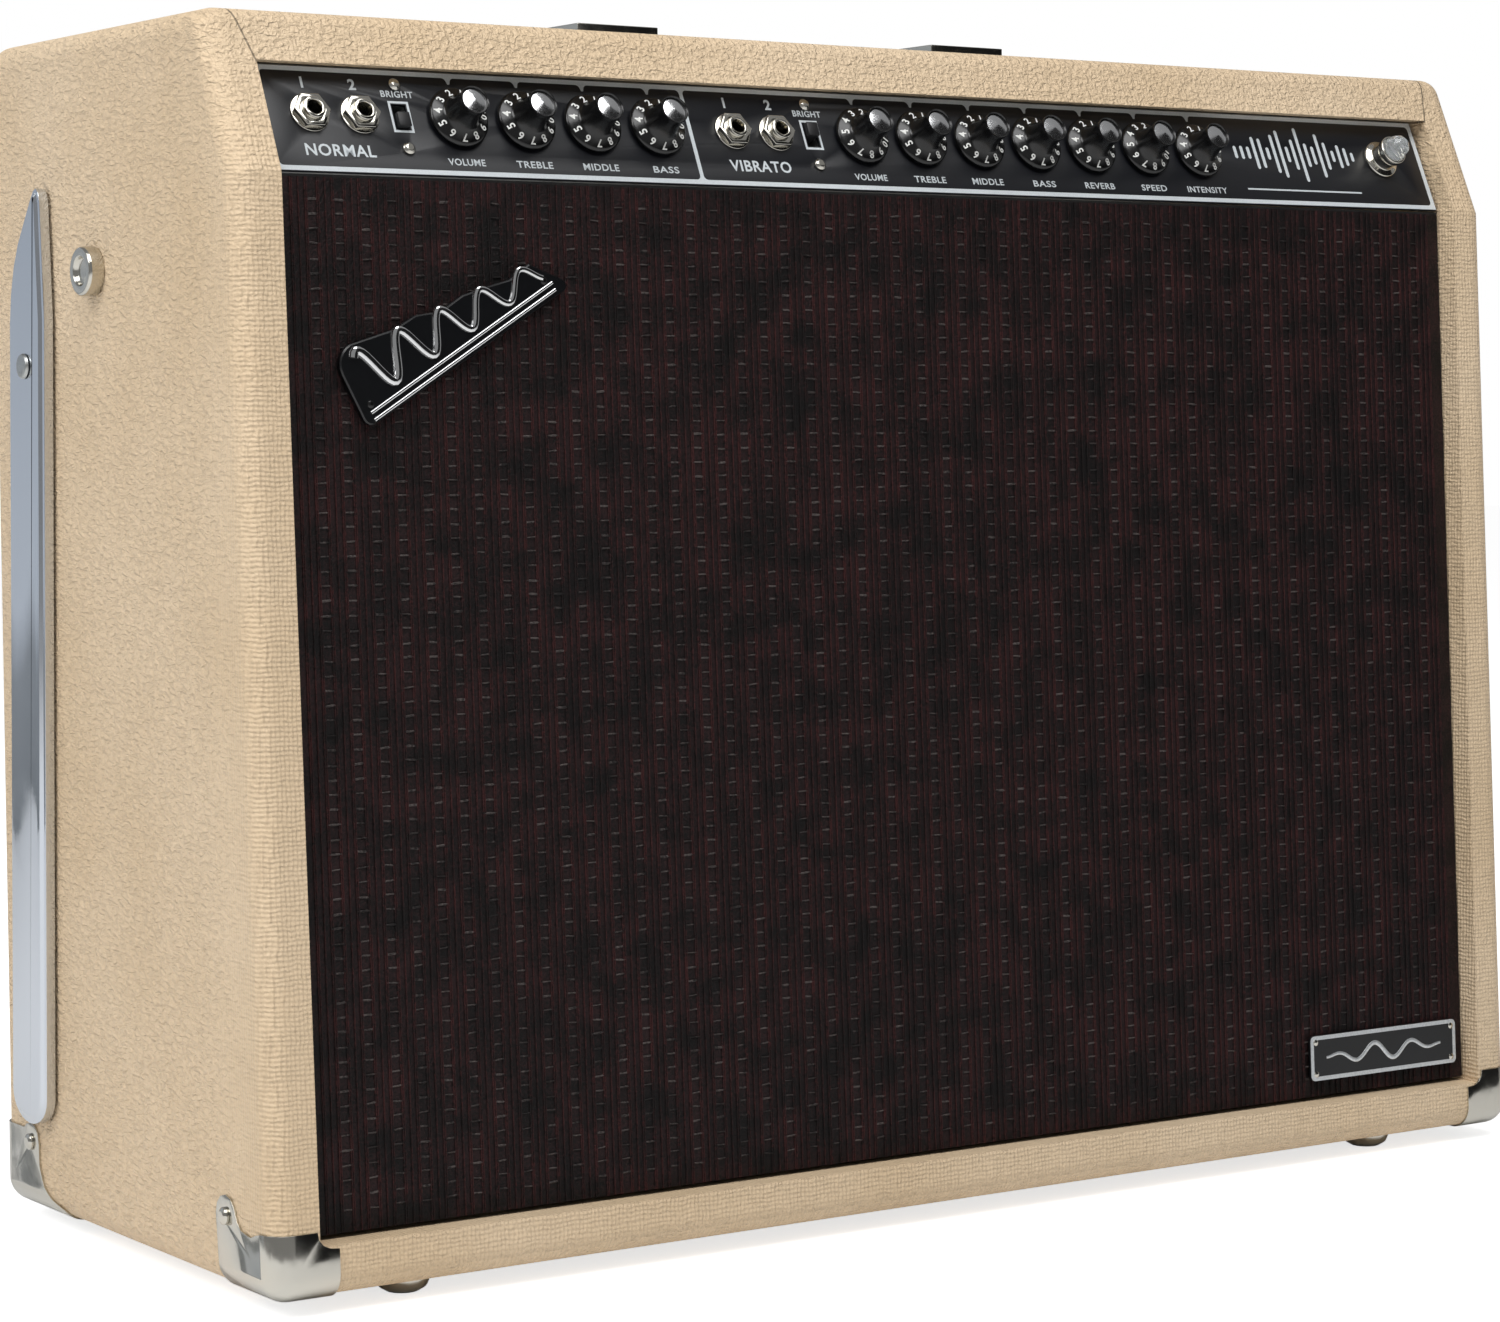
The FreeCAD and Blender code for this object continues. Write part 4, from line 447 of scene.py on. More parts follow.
for beside in (-0.0037, -0.0029, 0.0, 0.0029, 0.0037):
    moved = add(tree, "GeometryNodeSetPosition", {"Geometry": ribs.outputs[0], "Offset": (beside, 0, 0.0003)})
    cords = add(tree, "GeometryNodeInstanceOnPoints", {"Points": moved.outputs[0], "Instance": one_cord.outputs[0]})
    cord_sets.append(cords.outputs[0])
all_cords = add(tree, "GeometryNodeJoinGeometry")
for cords in cord_sets:
    tree.links.new(cords, all_cords.inputs[0])
cord_mesh = grown(tree, sizes, all_cords.outputs[0], red_cord)
first_rib = Matrix.Translation((-RIB_PITCH * (sizes["Ribs"] - 1) / 2, 0, 0))
cord_mesh.transform(cloth_face @ first_rib)
cords_piece = fitted("grille_cloth_cords", smooth(cord_mesh, 80))

# Floats: a short pale thread laid across the gap between two ribs, over and over up the cloth.
gaps, rows = int(cloth_width / RIB_PITCH) - 1, int(cloth_height / FLOAT_PITCH) - 1
sizes = {"Columns": gaps, "Rows": rows, "Width": (gaps - 1) * RIB_PITCH, "Height": (rows - 1) * FLOAT_PITCH,
         "Length": FLOAT_LENGTH, "Thickness": 0.00042}
tree, size = node_tree("cross_floats", sizes)
left_end = add(tree, "ShaderNodeMath", {0: size["Length"], 1: -0.5}, operation="MULTIPLY")
right_end = add(tree, "ShaderNodeMath", {0: size["Length"], 1: 0.5}, operation="MULTIPLY")
start = add(tree, "ShaderNodeCombineXYZ", {"X": left_end.outputs[0], "Z": 0.0001})
end = add(tree, "ShaderNodeCombineXYZ", {"X": right_end.outputs[0], "Z": 0.0001})
arch = add(tree, "GeometryNodeCurveQuadraticBezier", {"Resolution": 3, "Start": start.outputs[0],
                                                      "Middle": (0, 0.0001, 0.0011), "End": end.outputs[0]})
ring = add(tree, "GeometryNodeCurvePrimitiveCircle", {"Resolution": 4, "Radius": size["Thickness"]})
one_float = add(tree, "GeometryNodeCurveToMesh", {"Curve": arch.outputs[0], "Profile Curve": ring.outputs[0],
                                                  "Fill Caps": True})
field = add(tree, "GeometryNodeMeshGrid", {"Size X": size["Width"], "Size Y": size["Height"],
                                           "Vertices X": size["Columns"], "Vertices Y": size["Rows"]})
jitter = add(tree, "FunctionNodeRandomValue", {0: (-0.0001, -0.00035, -0.0001), 1: (0.0001, 0.00035, 0.0001),
                                               "Seed": 7}, data_type="FLOAT_VECTOR")
uneven = add(tree, "GeometryNodeSetPosition", {"Geometry": field.outputs[0], "Offset": jitter.outputs[0]})
tilt = add(tree, "FunctionNodeRandomValue", {0: (0, 0, -0.09), 1: (0, 0, 0.09), "Seed": 3}, data_type="FLOAT_VECTOR")
stretch = add(tree, "FunctionNodeRandomValue", {0: (0.82, 0.7, 0.6), 1: (1.04, 1.25, 1.1), "Seed": 5},
              data_type="FLOAT_VECTOR")
floats = add(tree, "GeometryNodeInstanceOnPoints", {"Points": uneven.outputs[0], "Instance": one_float.outputs[0],
                                                    "Rotation": tilt.outputs[0], "Scale": stretch.outputs[0]})
float_mesh = grown(tree, sizes, floats.outputs[0], grey_float)
float_mesh.transform(cloth_face @ Matrix.Translation((0, cloth_height / 2, 0)))
floats_piece = fitted("grille_cloth_floats", smooth(float_mesh, 80))


# Faceplate: folded aluminium, anodised and painted blue-black, with the border and every word silk screened on
# it in pale grey. The ink stands a hair above the satin paint.
panel_out = -Vector(joints["normal_volume_turn"]["axis"])
panel_up = Vector(joints["normal_bright_slide"]["axis"])
CONTROL_LINE = 0.026
control_spot = Vector(joints["normal_volume_turn"]["pos_m"])
panel_foot = Vector((0, control_spot.y, control_spot.z)) - CONTROL_LINE * panel_up
panel = sloped(panel_foot, panel_up, panel_out)
panel_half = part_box("faceplate")[1].x
panel_rise = 0.0472
panel_paint = grained("satin_blue_black_enamel", ("#0b0c11", "#111319"), 0.42, 0.0010, relief=0.00003, strength=0.25,
                      Specular_IOR_Level=0.5)
screen_ink = grained("pale_grey_screen_ink", ("#c3cace", "#d3d9dc"), 0.55, 0.0006, relief=0.00002)
deburred("faceplate", panel_paint, edge=0.0003)
INK = 0.00004
BORDER = 0.0023


def curve_mesh(name, kind):
    """A new curve object of that kind, ready to be filled in and made a mesh."""
    data = bpy.data.curves.new(name, kind)
    return linked(name, data), data


def settled(holder):
    """The curve's plain mesh; the curve itself is removed."""
    mesh = plain_mesh(holder)
    bpy.data.objects.remove(holder)
    return mesh


def stencil(outlines, thick=INK):
    """A flat plate of ink or metal bounded by closed outlines, where each outline inside another is a hole."""
    holder, data = curve_mesh("stencil", "CURVE")
    data.dimensions, data.fill_mode, data.extrude = "2D", "BOTH", thick
    for outline in outlines:
        line = data.splines.new("POLY")
        line.points.add(len(outline) - 1)
        line.use_cyclic_u = True
        for point, (x, y) in zip(line.points, outline):
            point.co = (x, y, 0, 1)
    return settled(holder)


def word(text, width, height, bold=0.0, thick=INK):
    """Lettering scaled to a height, and to a width unless that is None, centred on its own middle."""
    holder, data = curve_mesh("word", "FONT")
    data.body, data.size, data.offset, data.extrude = text, 0.01, bold, thick
    data.resolution_u, data.space_character = 3, 1.08
    mesh = settled(holder)
    xs = [v.co.x for v in mesh.vertices]
    ys = [v.co.y for v in mesh.vertices]
    middle = Vector(((max(xs) + min(xs)) / 2, (max(ys) + min(ys)) / 2, 0))
    tall = height / (max(ys) - min(ys))
    fit = Matrix.Diagonal((width / (max(xs) - min(xs)) if width else tall, tall, 1, 1))
    mesh.transform(fit @ Matrix.Translation(-middle))
    return mesh


def arc(cx, cy, radius, start, end, steps=6):
    """Points along an arc, its angles in degrees."""
    angles = [math.radians(start + (end - start) * i / steps) for i in range(steps + 1)]
    return [(cx + radius * math.cos(a), cy + radius * math.sin(a)) for a in angles]


def window(left, right, notches):
    """One dark field of the panel: a rectangle with soft corners, and a pointed tab over each knob."""
    low, high = BORDER, panel_rise - BORDER
    soft = 0.002
    outline = arc(left + soft, low + soft, soft, 180, 270) + arc(right - soft, low + soft, soft, 270, 360)
    outline += arc(right - soft, high - soft, soft, 0, 90)
    for x in sorted(notches, reverse=True):
        for side in (1, -1):
            curl = arc(x + side * 0.0030, high - 0.0022, 0.0022, 90, 90 + side * 78)
            outline += curl if side > 0 else curl[::-1]
            if side > 0:
                outline += [(x + 0.0005, high - 0.0029), (x - 0.0005, high - 0.0029)]
    return outline + arc(left + soft, high - soft, soft, 90, 180)


knob_place = {name: joints[f"{name}_turn"]["pos_m"][0] for name in
              (n.removeprefix("knob_") for n in nodes if n.startswith("knob_"))}
normal_knobs = [x for name, x in knob_place.items() if name.startswith("normal")]
vibrato_knobs = [x for name, x in knob_place.items() if name.startswith("vibrato")]
DIVIDER = -0.1116
edge_x = panel_half - 0.0002
sheet_outline = [(-edge_x, 0.0002), (edge_x, 0.0002), (edge_x, panel_rise - 0.0002), (-edge_x, panel_rise - 0.0002)]
border = stencil([sheet_outline, window(BORDER - edge_x, DIVIDER - 0.0009, normal_knobs),
                  window(DIVIDER + 0.0009, edge_x - BORDER, vibrato_knobs)])


def at(x, up, out=0.0):
    """A matrix that puts something flat on the panel, out from its face."""
    return panel @ Matrix.Translation((x, up, out))


print_parts = []


def printed(mesh, x, up):
    """Prints a flat mesh on the panel in ink."""
    print_parts.append((mesh, screen_ink, at(x, up, INK)))


printed(border, 0, 0)
for name, x in knob_place.items():
    label = name.split("_")[1].upper()
    printed(word(label, 0.00225 * len(label) + 0.0038, 0.0031, bold=0.00014), x, 0.0064)
for slider in ("bright_slider_normal", "bright_slider_vibrato"):
    low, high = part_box(slider)
    x = (low.x + high.x) / 2
    printed(word("BRIGHT", 0.0148, 0.0030, bold=0.00014), x + 0.0004, 0.0363)
    ring = [[(-wide, -tall), (wide, -tall), (wide, tall), (-wide, tall)]
            for wide, tall in ((0.0047, 0.00705), (0.0037, 0.00605))]
    printed(stencil(ring), x, CONTROL_LINE)
jack_places = [mount["pos_m"][0] for mount in frame["record"]["mounts"] if mount["name"].startswith("input_jack")]
for i, x in enumerate(sorted(jack_places)):
    printed(word(str(i % 2 + 1), None, 0.0050, bold=0.0003), x - 0.0005, 0.0398)
for channel, first in (("NORMAL", 0), ("VIBRATO", 2)):
    printed(word(channel, 0.0315, 0.0054, bold=0.00018), sum(jack_places[first:first + 2]) / 2 - 0.0010, 0.0097)
# A plain ornament of rising and falling strokes, as from a level meter, beside the lamp.
STROKES = 19
for i in range(STROKES):
    swell = math.sin(math.pi * (i + 0.5) / STROKES) * (0.55 + 0.45 * math.cos(i * 1.9))
    tall = 0.0045 + 0.0245 * abs(swell)
    x = 0.1945 + 0.0740 * i / (STROKES - 1)
    body = arc(0, tall / 2 - 0.0009, 0.0009, 0, 180) + arc(0, 0.0009 - tall / 2, 0.0009, 180, 360)
    printed(stencil([body]), x, CONTROL_LINE + 0.001)
rule = [(-0.036, -0.0004), (0.036, -0.0004), (0.036, 0.0004), (-0.036, 0.0004)]
printed(stencil([rule]), 0.2315, 0.0078)
fitted("panel_legends", assembled("panel_legends", print_parts))


# Input jacks, nuts, screws and switches: nickel plated brass and steel, run down on the panel from its front.
# The slider buttons are moulded in black nylon.
bright_nickel = worn_metal("bright_nickel_plate", "#d2cfc6", 0.12, 0.004, waviness=0.00002)
nylon = grained("moulded_black_nylon", ("#0b0b0c", "#17171a"), 0.45, 0.0008, relief=0.00004)
for node, edge in (("input_jacks", 0.0003), ("panel_screws", 0.00015), ("panel_nuts", 0.0003)):
    deburred(node, bright_nickel, edge)
deburred("bright_slider_normal", nylon, edge=0.00035)
deburred("bright_slider_vibrato", nylon, edge=0.00035)
deburred("switch_bodies", zinc, edge=0.0003)
deburred("potentiometers", zinc, edge=0.0003)


# Knobs: black phenolic-look ABS, moulded with a broad skirt that carries the dial figures, and a spun aluminium
# disc pressed into the top. The figures are hot stamped in white. Each knob pushes on a potentiometer's shaft.
knob_black = grained("polished_black_moulding", ("#070707", "#0e0e0f"), 0.22, 0.0012, relief=0.00002,
                     Specular_IOR_Level=0.55)
dial_white = grained("white_hot_stamping", ("#d8d9d6", "#e6e6e2"), 0.5, 0.0006, relief=0.00002)
spun = worn_metal("spun_aluminium_disc", "#e3e4e6", 0.17, 0.0006, waviness=0.00001)
plated_shaft = worn_metal("turned_brass_shaft", "#c2a868", 0.25, 0.002)
SKIRT, TALL, LIFT = 0.0134, 0.0172, 0.001
knob_profile = [(0.0031, LIFT), (0.0064, LIFT), (0.0128, LIFT), (SKIRT - 0.0001, LIFT + 0.0003),
                (SKIRT, LIFT + 0.0010), (SKIRT - 0.0004, LIFT + 0.0018), (0.0122, LIFT + 0.0024),
                (0.0086, LIFT + 0.0036), (0.0078, LIFT + 0.0050), (0.0069, LIFT + 0.0080), (0.0063, LIFT + 0.0112),
                (0.0062, LIFT + 0.0135), (0.0064, LIFT + 0.0150), (0.0062, LIFT + 0.0160), (0.0058, LIFT + 0.0157),
                (0.0057, LIFT + 0.0151), (0.0031, LIFT + 0.0148)]
disc_profile = [(0.0, TALL - 0.0024), (0.0054, TALL - 0.0024), (0.0055, TALL - 0.0016), (0.0053, TALL - 0.0012),
                (0.0003, TALL - 0.0001), (0.0, TALL - 0.0001)]
shaft_profile = [(0.0, -0.0104), (0.0027, -0.0104), (0.0030, -0.0101), (0.0030, 0.0135), (0.0, 0.0135)]
moulding = turned(knob_profile, 72)
disc = turned(disc_profile, 48)
shaft = turned(shaft_profile, 24)
STEP = 31.5
SKIRT_SLOPE = math.atan2(0.0012, 0.0036)
figures = [word(str(n), None, 0.0035, bold=0.0002, thick=0.00003) for n in range(1, 11)]
for name, x in knob_place.items():
    reading = 1 - joints[f"{name}_turn"]["range_deg"][0] / STEP
    spot = at(x, CONTROL_LINE)
    parts = [(moulding, knob_black, spot), (disc, spun, spot), (shaft, plated_shaft, spot)]
    for n, figure in enumerate(figures, start=1):
        round_dial = Matrix.Rotation(math.radians((n - reading) * STEP), 4, "Z")
        on_skirt = Matrix.Translation((0, 0.01045, LIFT + 0.00305)) @ Matrix.Rotation(-SKIRT_SLOPE, 4, "X")
        parts.append((figure, dial_white, spot @ round_dial @ on_skirt))
    show(f"knob_{name}_finished", assembled(f"knob_{name}", parts, 50), f"knob_{name}")


# Pilot lamp: a turned and nickelled brass holder with a faceted clear jewel screwed over its bulb.
# The lamp is off, so the jewel shows only what it mirrors and bends.
jewel_glass, tree, shader, place = finish("moulded_clear_glass", Base_Color=linear("#eef2f4"), Roughness=0.04,
                                          IOR=1.52, Transmission_Weight=0.85)
ripple = add(tree, "ShaderNodeTexNoise", {"Vector": place, "Scale": 900.0, "Detail": 1.0})
raise_by(tree, shader, ripple.outputs["Fac"], 0.15, 0.0002)
deburred("pilot_lamp_holder", bright_nickel, edge=0.0004)
jewel_low, jewel_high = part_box("pilot_jewel")
lamp_x = (jewel_low.x + jewel_high.x) / 2
jewel = turned([(0.0, 0.0092), (0.0052, 0.0092), (0.0057, 0.0105), (0.0057, 0.0140), (0.0046, 0.0170),
                (0.0024, 0.0189), (0.0, 0.0193)], 10)
jewel.transform(at(lamp_x, CONTROL_LINE))
jewel.materials.append(jewel_glass)
show("pilot_jewel_cut", jewel, "pilot_jewel")


# Badge and name plate: black moulded plates pinned over the cloth. The real marks are left out: the badge has a
# plain ripple in bright metal over two rules, and the plate a single wave between pins, in a silver rim.
badge_black = grained("gloss_black_moulding", ("#060709", "#0c0d10"), 0.28, 0.0020, relief=0.00003)
badge_chrome = worn_metal("vacuum_chromed_moulding", "#e2e3e4", 0.07, 0.010)
plate_silver = grained("silver_hot_foil", ("#c6cacd", "#dfe2e4"), 0.32, 0.0010, relief=0.00002, Metallic=0.7)


def wire(points, radii, flat=0.7):
    """A raised rounded stroke through points on a flat face, with a radius at each."""
    holder, data = curve_mesh("wire", "CURVE")
    data.dimensions, data.bevel_depth, data.bevel_resolution = "3D", 1.0, 3
    data.use_fill_caps = True
    line = data.splines.new("POLY")
    line.points.add(len(points) - 1)
    for point, (x, y), radius in zip(line.points, points, radii):
        point.co, point.radius = (x, y, 0, 1), radius
    mesh = settled(holder)
    mesh.transform(Matrix.Diagonal((1, 1, flat, 1)))
    return mesh


def slab(outline, low, high, inset=0.0006):
    """A plate with a softened top edge, from an outline that runs anticlockwise."""
    bm = bmesh.new()
    face = bm.faces.new([bm.verts.new((x, y, low)) for x, y in outline])
    walls = bmesh.ops.extrude_face_region(bm, geom=[face])
    top = [item for item in walls["geom"] if isinstance(item, bmesh.types.BMFace)]
    bmesh.ops.translate(bm, verts=top[0].verts, vec=(0, 0, high - low - inset))
    bmesh.ops.inset_region(bm, faces=top, thickness=inset, depth=inset)
    bmesh.ops.recalc_face_normals(bm, faces=bm.faces)
    return baked(bm, "slab")


def pin_head(radius, high):
    """A small domed pin or screw head."""
    return turned([(0, 0), (radius, 0), (radius * 0.96, high * 0.4), (radius * 0.6, high * 0.85), (0, high)], 16)


BADGE_LONG, BADGE_HIGH, BADGE_TILT = 0.112, 0.034, math.radians(27)
badge_middle = centre("badge")
on_cloth = sloped(badge_middle, baffle_up, baffle_out)
face_out = (Vector((0, cloth_low.y, cloth_low.z)) - badge_middle).dot(baffle_out)
badge_face = on_cloth @ Matrix.Translation((0, 0, face_out)) @ Matrix.Rotation(BADGE_TILT, 4, "Z")
half_long, half_high = BADGE_LONG / 2 - 0.0006, BADGE_HIGH / 2 - 0.0006
RIPPLES = 4.5
samples = 90


def ripple_at(share):
    """The badge's wave: how far along and how high it stands at a share of its length."""
    swing = 0.0098 * (1 - 0.58 * share)
    return (-half_long + 0.0075 + share * 0.094, 0.0035 + swing * math.sin(2 * math.pi * RIPPLES * share + 0.9))


wave = [ripple_at(i / samples) for i in range(samples + 1)]
wave_radii = [0.0021 - 0.0009 * i / samples for i in range(samples + 1)]
outline = arc(-half_long + 0.004, -half_high + 0.004, 0.004, 180, 270)
outline += arc(half_long - 0.003, -half_high + 0.010, 0.003, 300, 400)
outline += [(half_long - 0.012 - 0.0115 * i, 0.0065 + 0.0011 * i + 0.0015 * math.cos(i * 2.4)) for i in range(7)]
outline += arc(-half_long + 0.009, half_high - 0.009, 0.009, 90, 180)
rails = [wire([(-half_long + 0.004, -0.0148 + gap), (half_long - 0.006, -0.0066 + gap)], [0.0007, 0.0007])
         for gap in (0, 0.0032)]
parts = [(slab(outline, 0.0002, 0.0032), badge_black, badge_face),
         (wire(wave, wave_radii), badge_chrome, badge_face @ Matrix.Translation((0, 0, 0.0034)))]
parts += [(rail, badge_chrome, badge_face @ Matrix.Translation((0, 0, 0.0033))) for rail in rails]
parts += [(pin_head(0.0016, 0.0006), knob_black, badge_face @ Matrix.Translation((x, y, 0.0032)))
          for x, y in ((-0.047, 0.0125), (0.046, -0.001), (-0.050, -0.0085))]
show("badge_finished", assembled("badge", parts), "badge")

PLATE_WIDE, PLATE_HIGH = 0.0945, 0.0217
plate_middle = centre("name_plate")
face_out = (Vector((0, cloth_low.y, cloth_low.z)) - plate_middle).dot(baffle_out)
plate_face = sloped(plate_middle, baffle_up, baffle_out) @ Matrix.Translation((0, 0, face_out))


def rounded_box(wide, high, soft):
    """An anticlockwise rectangle with round corners, about its own middle."""
    x, y = wide / 2 - soft, high / 2 - soft
    return arc(x, y, soft, 0, 90) + arc(-x, y, soft, 90, 180) + arc(-x, -y, soft, 180, 270) + arc(x, -y, soft, 270, 360)


edge = [rounded_box(PLATE_WIDE - 0.0006, PLATE_HIGH - 0.0006, 0.0024),
        rounded_box(PLATE_WIDE - 0.0044, PLATE_HIGH - 0.0044, 0.0012)]
swell = [(0.074 * (i / 80 - 0.5), 0.0042 * math.sin(i / 80 * 6 * math.pi) * math.sin(i / 80 * math.pi))
         for i in range(81)]
parts = [(slab(rounded_box(PLATE_WIDE - 0.0004, PLATE_HIGH - 0.0004, 0.0026), 0.0002, 0.0017, 0.0003), badge_black,
          plate_face),
         (stencil(edge, 0.0001), plate_silver, plate_face @ Matrix.Translation((0, 0, 0.0018))),
         (wire(swell, [0.0006 + 0.0005 * math.sin(i / 80 * math.pi) for i in range(81)], 0.25), plate_silver,
          plate_face @ Matrix.Translation((0, 0, 0.00175)))]
parts += [(pin_head(0.0015, 0.0007), bright_nickel, plate_face @ Matrix.Translation((sx * 0.0438, sy * 0.0075, 0.0018)))
          for sx in (-1, 1) for sy in (-1, 1)]
show("name_plate_finished", assembled("name_plate", parts), "name_plate")


# Chassis and electronics: a folded zinc-plated pan over the speakers, with glass-epoxy boards on posts inside.
# The boards are green under lacquer, and their parts are black, tan and grey.
BOARD_TOP = 0.0085
deburred("chassis", zinc, edge=0.0004)
for node in ("signal_board", "power_amp_module", "power_supply"):
    board_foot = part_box(node)[0].z
    board, tree, shader, place = finish(f"{node}_lacquered_board", Roughness=0.38, IOR=1.5)
    height = add(tree, "ShaderNodeSeparateXYZ", {"Vector": place})
    cells = add(tree, "ShaderNodeTexVoronoi", {"Vector": place, "Scale": 34.0})
    part_colour = add(tree, "ShaderNodeValToRGB", {"Fac": cells.outputs["Color"]},
                      stops=((0.2, "#141416"), (0.45, "#6b6257"), (0.6, "#23303f"), (0.8, "#9a9c9e")))
    part_colour.color_ramp.interpolation = "CONSTANT"
    tracks = add(tree, "ShaderNodeTexBrick", {"Vector": place, "Scale": 90.0, "Color1": linear("#0f3f26"),
                                              "Color2": linear("#14492d"), "Mortar": linear("#2c6b45"),
                                              "Mortar Size": 0.03})
    is_part = add(tree, "ShaderNodeMath", {0: height.outputs["Z"], 1: board_foot + BOARD_TOP},
                  operation="GREATER_THAN")
    mixed = add(tree, "ShaderNodeMix", {0: is_part.outputs[0], 6: tracks.outputs["Color"],
                                        7: part_colour.outputs[0]}, data_type="RGBA")
    tree.links.new(mixed.outputs[2], shader.inputs["Base Color"])
    deburred(node, board, edge=0.0004)


# Rear fittings: inlet, sockets and jack in black nylon, chromed bat toggles and two small black knobs, with their
# names stamped beside them in dark ink on the bare zinc.
deburred("rear_connectors", nylon, edge=0.0004)
deburred("output_selector_knob", knob_black, edge=0.0004)
deburred("line_level_knob", knob_black, edge=0.0004)
deburred("power_toggle_lever", chrome, edge=0.0003)
deburred("mute_toggle_lever", chrome, edge=0.0003)
dark_ink = grained("black_stamping_ink", ("#0d0d0e", "#19191b"), 0.6, 0.0006, relief=0.00002)
rear_z = joints["line_level_turn"]["pos_m"][2]
rear_y = joints["line_level_turn"]["pos_m"][1]
rear = Matrix.Translation((0, rear_y, rear_z)) @ Matrix.Rotation(math.pi, 4, "Z") @ Matrix.Rotation(math.pi / 2, 4, "X")
rear_words = {"MAINS": 0.240, "POWER": 0.195, "OUTPUT": 0.150, "MUTE": 0.105, "LEVEL": -0.060, "LINE": -0.105,
              "SERVICE": -0.150, "FOOTSWITCH": -0.205}
parts = [(word(text, 0.0021 * len(text) + 0.002, 0.0026, bold=0.0002), dark_ink,
          rear @ Matrix.Translation((-x, -0.0158, INK))) for text, x in rear_words.items()]
fitted("rear_legends", assembled("rear_legends", parts))


# Handle: a moulded black strap over a spring steel band, held under two pressed nickel caps. It lies nearly flat
# on the top; the real strap bows up when lifted, but here it is two fixed halves. The strap is grained, with a raised
# line along each side.
strap_rubber, tree, shader, place = finish("grained_black_strap", Base_Color=linear("#101011"), Roughness=0.55, IOR=1.5)
pores = add(tree, "ShaderNodeTexVoronoi", {"Vector": place, "Scale": 1 / 0.0011})
raise_by(tree, shader, pores.outputs["Distance"], 0.5, 0.0002)
wear = add(tree, "ShaderNodeTexNoise", {"Vector": place, "Scale": 60.0, "Detail": 4.0})
scuffs = add(tree, "ShaderNodeValToRGB", {"Fac": wear.outputs["Fac"]}, stops=((0.35, "#0e0e0f"), (0.75, "#1d1d1f")))
tree.links.new(scuffs.outputs[0], shader.inputs["Base Color"])
deburred("handle_end_caps", nickel, edge=0.0018, steps=3)
STRAP_STEPS = 36
grip_low, grip_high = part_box("handle_grip")
end_low, end_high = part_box("handle_strap_ends")
strap_y = (grip_low.y + grip_high.y) / 2


def strap_ring(x):
    """The strap's section where it is x from the middle: wider and thicker at the grip."""
    ease = max(0.0, min(1.0, (abs(x) - 0.048) / 0.016))
    ease = ease * ease * (3 - 2 * ease)
    wide = (grip_high.y - grip_low.y) / 2 * (1 - ease) + (end_high.y - end_low.y) / 2 * ease
    top = grip_high.z * (1 - ease) + end_high.z * ease - 0.0002
    low = grip_low.z + 0.0001
    ridge = 0.0005
    shape = [(-1.0, 0.30), (-1.0, 0.70), (-0.95, 0.92), (-0.88, 1.0), (-0.80, 1.0), (-0.74, 1 - ridge / 0.005),
             (-0.4, 0.95), (0, 0.97), (0.4, 0.95), (0.74, 1 - ridge / 0.005), (0.80, 1.0), (0.88, 1.0), (0.95, 0.92),
             (1.0, 0.70), (1.0, 0.30), (0.93, 0.05), (0.85, 0.0), (-0.85, 0.0), (-0.93, 0.05)]
    return [(x, strap_y + wide * across, low + (top - low) * up) for across, up in shape]


for side, name in ((-1, "left"), (1, "right")):
    bm = bmesh.new()
    stations = [end_high.x * i / STRAP_STEPS for i in range(STRAP_STEPS + 1)]
    rings = [[bm.verts.new(spot) for spot in strap_ring(side * x)] for x in stations]
    for near, far in zip(rings, rings[1:]):
        for i in range(len(near)):
            j = (i + 1) % len(near)
            bm.faces.new((near[i], near[j], far[j], far[i]))
    bm.faces.new(rings[-1])
    bmesh.ops.recalc_face_normals(bm, faces=bm.faces)
    mesh = baked(bm, f"handle_strap_{name}")
    mesh.materials.append(strap_rubber)
    strap = linked(f"handle_strap_{name}", smooth(mesh, 50))
    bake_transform(strap)
    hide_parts("handle_grip", "handle_strap_ends")


# Tilt-back legs: pressed steel channels, bright chromed, that hang by a screw on each side. The middle is pressed
# proud of a narrow rim, with one long stiffening bead. Each stops against its nickel button.
LEG_HALF, LEG_BELOW, LEG_ABOVE, LEG_THICK, LEG_LEAN = 0.018, 0.329, 0.0755, 0.0054, math.radians(1.9)
RIM, BEVEL, PROUD = 0.0016, 0.0022, 0.0012
LEG_WALL = 0.0018


def leg_outline():
    """The leg's outline about its pivot, front edge first: straight in front, curved to a narrow tip behind."""
    front, back = -LEG_HALF, LEG_HALF
    tip = [(front, 0.020), (front + 0.0045, LEG_ABOVE - 0.006), (front + 0.0062, LEG_ABOVE - 0.0018),
           (front + 0.0085, LEG_ABOVE), (front + 0.0112, LEG_ABOVE - 0.0012), (front + 0.0150, LEG_ABOVE - 0.0060),
           (front + 0.0210, LEG_ABOVE - 0.0145), (back - 0.0088, 0.0520), (back - 0.0042, 0.0420),
           (back - 0.0012, 0.0300), (back, 0.018)]
    foot = [(LEG_HALF * math.cos(a), -LEG_BELOW + 0.013 + 0.013 * math.sin(a))
            for a in (-math.pi * i / 14 for i in range(15))]
    return tip + foot


